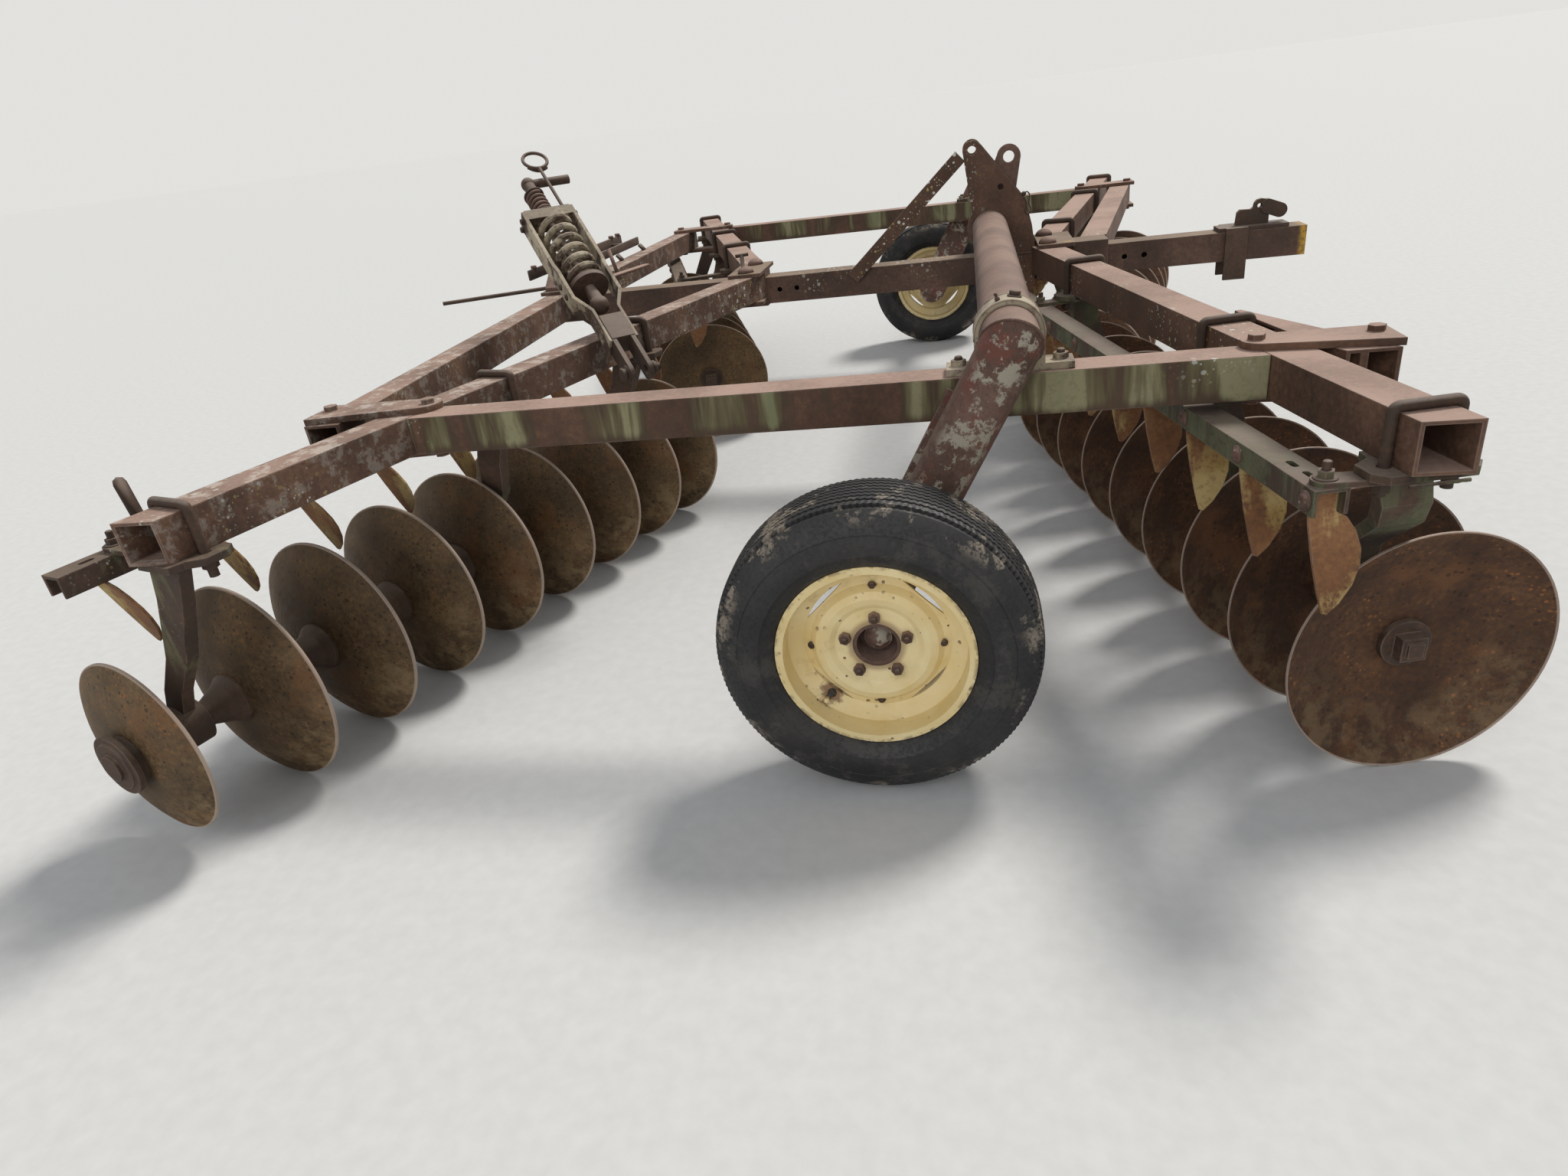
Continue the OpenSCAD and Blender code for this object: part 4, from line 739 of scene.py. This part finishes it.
def add_wheel_parts(word, side):
    """Small bolts in the wheel's disc, stud ends through the lug nuts, and the valve."""
    body = "wheel_" + word
    bolts = Build(wheel_place(side))
    for turn in (0, 90, 180, 270):
        place = Matrix.Translation(around(0.126, turn, 0.0202))
        bolts.hex_bolt(place, across=0.011, height=0.005, washer=0.0080)
    stud = [(TIP, 0), (0.0054, 0), (0.0058, 0.002), (0.0053, 0.004), (0.0058, 0.006), (0.0042, 0.0085),
            (TIP, 0.0085)]
    for k in range(5):
        bolts.lathe(stud, 14, Matrix.Translation(around(0.062, 72 * k + 18, 0.0385)))
    bolts.done("wheel_bolts_" + word, body, "bare_rust")
    root = Matrix.Translation(around(VALVE_R, VALVE_TURN, 0.014)) @ Matrix.Rotation(math.radians(-14), 4, "Y")
    sleeve = Build(wheel_place(side))
    sleeve.lathe([(TIP, 0), (0.0098, 0), (0.0098, 0.005), (0.0060, 0.009), (0.0052, 0.020), (TIP, 0.020)],
                 16, root)
    sleeve.done("valve_sleeve_" + word, body, "tyre")
    stem = Build(wheel_place(side))
    stem.lathe([(TIP, 0.0195), (0.0040, 0.0195), (0.0040, 0.0230), (0.0047, 0.0235), (0.0047, 0.0330),
                (0.0036, 0.0350), (TIP, 0.0350)], 14, root)
    stem.done("valve_cap_" + word, body, "wheel_cream")


for word, side in SIDES.items():
    add_tyre(word, side)
    add_wheel_parts(word, side)


# Beams, bars and standards

# How far ahead of its beam a scraper bar lies; then places along the gang, outward being negative: a blade's
# from its disc, and the bar arms' and the standards' from the gang's middle
BAR_OFF = {"front": -0.130, "rear": -0.254}
BLADE_AT = {"front": -0.060, "rear": 0.046}
ARM_AT = {"front": (-GANG_HALF - 0.058, 0.5875), "rear": (-0.8161, 0.6155)}
LEG_AT = {"front": (-1.0311, -0.3769, 0.5455), "rear": (-0.8581, -0.0037, 0.5735)}
BAR_ARM_TOP, BAR_BOLT_H = 0.6314, 0.014
BEAM_LOW, SEAT_GAP, LEG_PLATE_T = 0.646, 0.0003, 0.014


def add_beam_parts(row, word, side):
    """Bolt heads on the blades, threaded ends over the arms' nuts, and welds under the standards' plates."""
    place = beam_place(row, side)
    bolts = Build(place)
    for k in range(DISCS):
        y = -GANG_HALF + k * PITCH + BLADE_AT[row]
        bolts.dome(at(BAR_OFF[row] - 0.028, y, 0.599, turn_y=-90), 0.0125, 0.007, 0.017)
    bolts.done(f"blade_bolts_{row}_{word}", "frame", "arm_paint")
    threads = Build(place)
    rings = [(0.0074 if j % 2 else 0.0066, 0.0012 * j) for j in range(12)]
    for y in ARM_AT[row]:
        threads.lathe([(TIP, 0)] + rings + [(0.0055, 0.0150), (TIP, 0.0150)], 14,
                      at(BAR_OFF[row], y, BAR_ARM_TOP + BAR_BOLT_H))
        threads.washer(at(BAR_OFF[row], y, BAR_ARM_TOP), 0.0185, steps=20)
    threads.done(f"arm_threads_{row}_{word}", "frame", "bare_rust")
    welds = Build(gang_place(row, side))
    x, z = -GANG_OFF[row], BEAM_LOW - SEAT_GAP - LEG_PLATE_T
    for leg in LEG_AT[row]:
        for y in (leg - 0.0135, leg + 0.0135):
            welds.bead([(x - 0.045, y, z), (x + 0.045, y, z)], 0.0035)
    welds.done(f"leg_welds_{row}_{word}", "frame", "green_paint" if row == "front" else "rust_paint")


for row in ANGLE:
    for word, side in SIDES.items():
        add_beam_parts(row, word, side)


# Rockshaft
SHAFT_R, ARM_MID_Y, ARM_TILT = 0.057, 1.704, 28.42
RAIL_Y, STRAP_R, STRAP_HALF, STRAP_BOLT_X = 1.598, 0.067, 0.031, 0.098
RAIL_TOP, STRAP_FOOT_T, STRAP_NUT_H = 0.730, 0.014, 0.012


def add_shaft_parts(word, side):
    """A weld round each mitre, and the straps' rolled edges with a bolt and a grease nipple on top."""
    seam = Build(mirror(side) @ at(SHAFT_X, -ARM_MID_Y, SHAFT_Z, turn_y=ARM_TILT))
    ring = []
    for k in range(41):
        a = math.radians(160 + 220 * k / 40)
        ring.append((SHAFT_R * math.cos(a), SHAFT_R * math.sin(a), -SHAFT_R * math.sin(a)))
    seam.bead(ring, 0.0032)
    seam.done("mitre_weld_" + word, "rockshaft", "arm_paint")
    strap = Build(mirror(side) @ at(SHAFT_X, -RAIL_Y, SHAFT_Z))
    turns = [math.radians(a) for a in range(-6, 187, 6)]
    for y in (-STRAP_HALF, STRAP_HALF):
        strap.tube([(STRAP_R * math.cos(a), y, STRAP_R * math.sin(a)) for a in turns], 0.0017, 8)
    strap.done("strap_edges_" + word, "frame", "cream_green")
    top = Build(mirror(side) @ at(SHAFT_X, -RAIL_Y, SHAFT_Z))
    top.hex_bolt(at(0.012, 0.008, STRAP_R - 0.0015, turn_y=10), across=0.019, height=0.009, washer=0.014)
    nipple = [(TIP, 0), (0.0050, 0), (0.0050, 0.005), (0.0032, 0.007), (0.0028, 0.010), (0.0038, 0.012),
              (0.0030, 0.015), (TIP, 0.0155)]
    top.lathe(nipple, 12, at(-0.020, -0.012, STRAP_R - 0.003, turn_y=-18))
    stud = [(TIP, 0), (0.0075, 0), (0.0082, 0.0015), (0.0075, 0.003), (0.0082, 0.0045), (0.0060, 0.007),
            (TIP, 0.007)]
    for x in (-STRAP_BOLT_X, STRAP_BOLT_X):
        top.lathe(stud, 14, at(x, 0, RAIL_TOP + STRAP_FOOT_T + STRAP_NUT_H - SHAFT_Z))
    top.done("strap_bolts_" + word, "frame", "bare_rust")


for word, side in SIDES.items():
    add_shaft_parts(word, side)


# Mast
MAST_Y = 0.0585


def add_mast_parts():
    """Welds beside the centre tube, edge welds of the plates and a hairpin clip on its wire."""
    welds = Build()
    for y in (-MAST_Y, MAST_Y):
        for x in (AXLE_X + 0.332, AXLE_X + 0.404):
            welds.bead([(x, y * 0.80, 0.622), (x, y * 0.80, 0.578)], 0.004)
        welds.bead([(AXLE_X + 0.234, y, 0.7125), (AXLE_X + 0.413, y, 0.7125)], 0.0022)
    welds.done("mast_welds", "frame", "centre_paint")
    clip = Build(at(AXLE_X + 0.376, -0.0575, 0.898))
    clip.dome(at(0, 0.0005, 0, turn_x=90), 0.008, 0.006)
    wire = [(0.0, -0.006, 0.002), (0.010, -0.008, 0.006), (0.018, -0.008, -0.004), (0.016, -0.008, -0.030),
            (0.022, -0.008, -0.050), (0.014, -0.008, -0.062), (0.004, -0.008, -0.052),
            (0.008, -0.008, -0.030), (0.001, -0.007, -0.008)]
    clip.tube(smooth_path(wire), 0.0021, 8)
    clip.done("hairpin_clip", "frame", "bare_rust")


add_mast_parts()


# Leveller

# A frame of its own: Z runs up the screw, from the clevis's pin to FRAME_TOP, where the side arms end
LEVELLER = at(AXLE_X - 0.6874, -1.0539, 0.6555, turn_y=54.36, turn_z=129.92)
FRAME_TOP, SIDE_OUT = 0.655, 0.078


def add_leveller_parts():
    """The small spring over the cross block, washers, side bolts, rivets and the wire loop's crossing end."""
    coil = Build(LEVELLER)
    turns, radius, rise, steps = 4.6, 0.0245, 0.078, 110
    path = []
    for k in range(steps + 1):
        a = 2 * math.pi * turns * k / steps
        path.append((radius * math.cos(a), radius * math.sin(a), FRAME_TOP + 0.010 + rise * k / steps))
    coil.tube(path, 0.0052, 10)
    coil.done("small_spring", "frame", "arm_paint")
    plates = Build(LEVELLER)
    bore, thick = 0.0120, 0.0052
    for z, r in ((FRAME_TOP + 0.0005, 0.033), (0.7482, 0.031)):
        plates.lathe([(bore, 0), (r - 0.002, 0), (r, 0.0015), (r, 0.004), (r - 0.002, thick), (bore, thick)],
                     28, Matrix.Translation((0, 0, z)), closed=True)
    for sign in (-1, 1):
        for x in (-0.014, 0.014):
            place = at(x, sign * SIDE_OUT, FRAME_TOP - 0.022, turn_x=-90 * sign)
            plates.hex_bolt(place, across=0.015, height=0.007, washer=0.010)
        for z in (0.320, 0.362):
            plates.dome(at(0, sign * 0.074, z, turn_x=-90 * sign), 0.010, 0.006)
    plates.hex_bolt(at(0, 0.033, 0, turn_x=-90), across=0.034, height=0.016, washer=0.024)
    plates.hex_bolt(at(0, -0.033, 0, turn_x=90), across=0.034, height=0.016, washer=0.024, shank=0.010)
    plates.done("leveller_bolts", "frame", "bare_rust")
    tail = Build(LEVELLER @ Matrix.Translation((-0.024, -0.050, FRAME_TOP + 0.2162)))
    bend = [(0.0, 0.030, -0.020), (0.002, 0.018, -0.031), (0.006, 0.0, -0.034), (0.009, -0.018, -0.026),
            (0.010, -0.031, -0.018)]
    tail.tube(smooth_path(bend), 0.0042, 10)
    tail.done("wire_loop_end", "frame", "bare_rust")


add_leveller_parts()


# Rear joint
def back_bar_x(y):
    """Where the rack's back bar is at a given Y."""
    return -1.262 + 0.056 * (y - 0.150) / 0.97


def add_rack():
    """Two parallel bars by the rear joint, with cross pieces, feet on the rear cross tube, bolts and rods."""
    high = 0.776
    rack = Build()
    rack.flat_bar((-1.262, 0.150, high), (-1.206, 1.120, high), 0.038, 0.010, up=(1, 0, 0))
    rack.flat_bar((-1.128, 0.230, high - 0.006), (-1.096, 1.040, high - 0.006), 0.034, 0.010, up=(1, 0, 0))
    for y in (0.330, 0.700, 1.000):
        behind, before = (back_bar_x(y), y, high - 0.012), (-1.124 + 0.04 * (y - 0.23), y, high - 0.012)
        rack.flat_bar(behind, before, 0.030, 0.012)
        top, foot = (-1.108 + 0.03 * y, y, high - 0.020), (-1.088 + 0.03 * y, y, RAIL_TOP + 0.0005)
        rack.flat_bar(top, foot, 0.034, 0.010, up=(1, 0, 0))
    rack.done("rear_rack", "frame", "bare_rust")
    bolts = Build()
    for y in (0.200, 0.720, 1.010, 1.090):
        bolts.hex_bolt(at(back_bar_x(y), y, high + 0.018), across=0.022, height=0.012)
    bolts.tube([(-0.985, 0.075, 0.806), (-0.972, 0.075, 0.690)], 0.0085, 12)
    for z in (0.758, 0.732):
        bolts.hex_bolt(at(-0.9790, 0.075, z, turn_y=-6), across=0.026, height=0.013, washer=0.017)
    bolts.tube([(-1.020, 0.420, 0.812), (-0.984, 0.380, 0.712)], 0.0078, 12)
    bolts.hex_bolt(at(-0.984, 0.380, 0.712, turn_x=-20, turn_y=160), across=0.026, height=0.014)
    bolts.done("rear_joint_bolts", "frame", "arm_paint")


def add_rear_joint():
    """A leaning plate, a tapering bar and a pin at the rear joint."""
    plate = Build()
    plate.prism([(-0.070, 0.742), (0.062, 0.742), (0.062, 0.752), (0.010, 0.800), (-0.004, 0.802),
                 (-0.070, 0.754)], -1.112, -1.012, FACING_X)
    for x in (-0.996, -0.976):
        plate.flat_bar((x, 0.030, 0.790), (x + 0.004, -0.040, 0.748), 0.014, 0.008, up=(0, -0.5, 0.86))
    plate.done("rear_joint_plate", "frame", "arm_paint", bevel=0.0015)
    strap = Build()
    strap.prism([(0, -0.013), (0.20, -0.022), (0.50, -0.016), (0.512, -0.008), (0.512, 0.008), (0.50, 0.016),
                 (0.20, 0.022), (0, 0.013), (-0.010, 0)], 0, 0.009, at(-0.998, -0.150, 0.7435, turn_z=72))
    strap.done("tapered_strap", "frame", "frame_paint")
    pin = Build(at(-0.376, -0.004, 0.742))
    pin.lathe([(TIP, 0), (0.016, 0), (0.016, 0.003), (0.0075, 0.004), (0.0075, 0.050), (TIP, 0.052)], 16)
    pin.tube([(-0.022, -0.004, 0.047), (0.024, 0.005, 0.050)], 0.0062, 10)
    pin.done("sleeve_pin", "frame", "bare_rust")


add_rack()
add_rear_joint()


# Small things on the frame
def add_frame_bits():
    """Bolt heads on the sleeves, the rear cross tubes' welds and a flat stick by a rear beam's end."""
    heads = Build()
    for x in (-0.349, 0.675):
        for y in (-0.091, 0.091):
            heads.dome(at(x, y, 0.742), 0.029, 0.022)
    heads.done("sleeve_bolt_heads", "frame", "arm_paint")
    welds = Build()
    for side in SIDES.values():
        for x in (AXLE_X - 1.330, AXLE_X - 1.245):
            welds.bead([(x, -side * 0.0462, 0.648), (x, -side * 0.0462, 0.711)], 0.0035)
    welds.done("cross_welds", "frame", "centre_paint")
    stick = Build(beam_place("rear", RIGHT) @ at(-0.105, -0.816, BAR_ARM_TOP, turn_x=3, turn_y=-5))
    outline = [(-0.011, 0.0), (0.011, 0.0), (0.012, 0.140), (0.009, 0.149), (0.0, 0.153), (-0.009, 0.149),
               (-0.012, 0.140)]
    stick.prism(outline, -0.002, 0.002, FACING_X)
    stick.done("flat_stick", "frame", "bare_rust")


add_frame_bits()


# Camera
def add_camera():
    """The photograph's camera: its place, its turns in radians and its focal length in pixels."""
    yaw, pitch, roll = 0.2241, 0.4584, 0.1326
    focal_px, width_px, sensor_mm = 1259.7, 2048.0, 36.0
    place = Vector((AXLE_X + 0.1963, -3.5332, 1.2405))
    forward = Vector((-math.sin(yaw) * math.cos(pitch), math.cos(yaw) * math.cos(pitch), -math.sin(pitch)))
    side = forward.cross(Vector((0, 0, 1))).normalized()
    down = forward.cross(side)
    right = math.cos(roll) * side + math.sin(roll) * down
    low = -math.sin(roll) * side + math.cos(roll) * down
    data = bpy.data.cameras.new("camera")
    data.sensor_width = sensor_mm
    data.lens = focal_px / width_px * sensor_mm
    data.clip_end = 500.0
    camera = bpy.data.objects.new("camera", data)
    turn = Matrix((right, -low, -forward)).transposed()
    camera.matrix_world = Matrix.Translation(place) @ turn.to_4x4()
    bpy.context.scene.collection.objects.link(camera)
    bpy.context.scene.camera = camera


# Floor and light
def add_floor():
    mesh = bpy.data.meshes.new("floor")
    reach = 400.0
    corners = [(-reach, -reach, 0), (reach, -reach, 0), (reach, reach, 0), (-reach, reach, 0)]
    mesh.from_pydata(corners, [], [(0, 1, 2, 3)])
    floor = bpy.data.objects.new("floor", mesh)
    bpy.context.scene.collection.objects.link(floor)
    g = Graph("floor_pale")
    tone = g.ramp(g.noise(30.0, 3, 0.5), [(0.3, (0.58, 0.58, 0.57)), (0.7, (0.62, 0.62, 0.61))])
    mesh.materials.append(g.finish(tone, 0.9))


def add_sun(name, come_from, strength, degrees, colour):
    """A wide, soft lamp whose light falls evenly over the whole floor."""
    data = bpy.data.lights.new(name, "SUN")
    data.angle = math.radians(degrees)
    data.energy = strength
    data.color = colour
    lamp = bpy.data.objects.new(name, data)
    lamp.rotation_euler = (-Vector(come_from)).to_track_quat("-Z", "Y").to_euler()
    bpy.context.scene.collection.objects.link(lamp)


def add_light():
    """A warm key, a cool fill, and a sky that looks pale but lights little."""
    add_sun("key", (3.6, 4.2, 7.0), 2.7, 16, (1.0, 0.97, 0.92))
    add_sun("fill", (-1.5, -6.5, 4.0), 0.75, 50, (0.97, 0.98, 1.0))
    world = bpy.data.worlds.new("studio")
    bpy.context.scene.world = world
    world.use_nodes = True
    tree = world.node_tree
    tree.nodes.clear()
    out = tree.nodes.new("ShaderNodeOutputWorld")
    seen = tree.nodes.new("ShaderNodeBackground")
    seen.inputs["Color"].default_value = (0.76, 0.755, 0.735, 1)
    lit = tree.nodes.new("ShaderNodeBackground")
    lit.inputs["Color"].default_value = (0.93, 0.96, 1.0, 1)
    lit.inputs["Strength"].default_value = 0.42
    path = tree.nodes.new("ShaderNodeLightPath")
    either = tree.nodes.new("ShaderNodeMath")
    either.operation = "MAXIMUM"
    tree.links.new(path.outputs["Is Camera Ray"], either.inputs[0])
    tree.links.new(path.outputs["Is Glossy Ray"], either.inputs[1])
    choose = tree.nodes.new("ShaderNodeMixShader")
    tree.links.new(either.outputs[0], choose.inputs[0])
    tree.links.new(lit.outputs[0], choose.inputs[1])
    tree.links.new(seen.outputs[0], choose.inputs[2])
    tree.links.new(choose.outputs[0], out.inputs["Surface"])


add_camera()
add_floor()
add_light()
bpy.context.scene.view_settings.view_transform = "Standard"
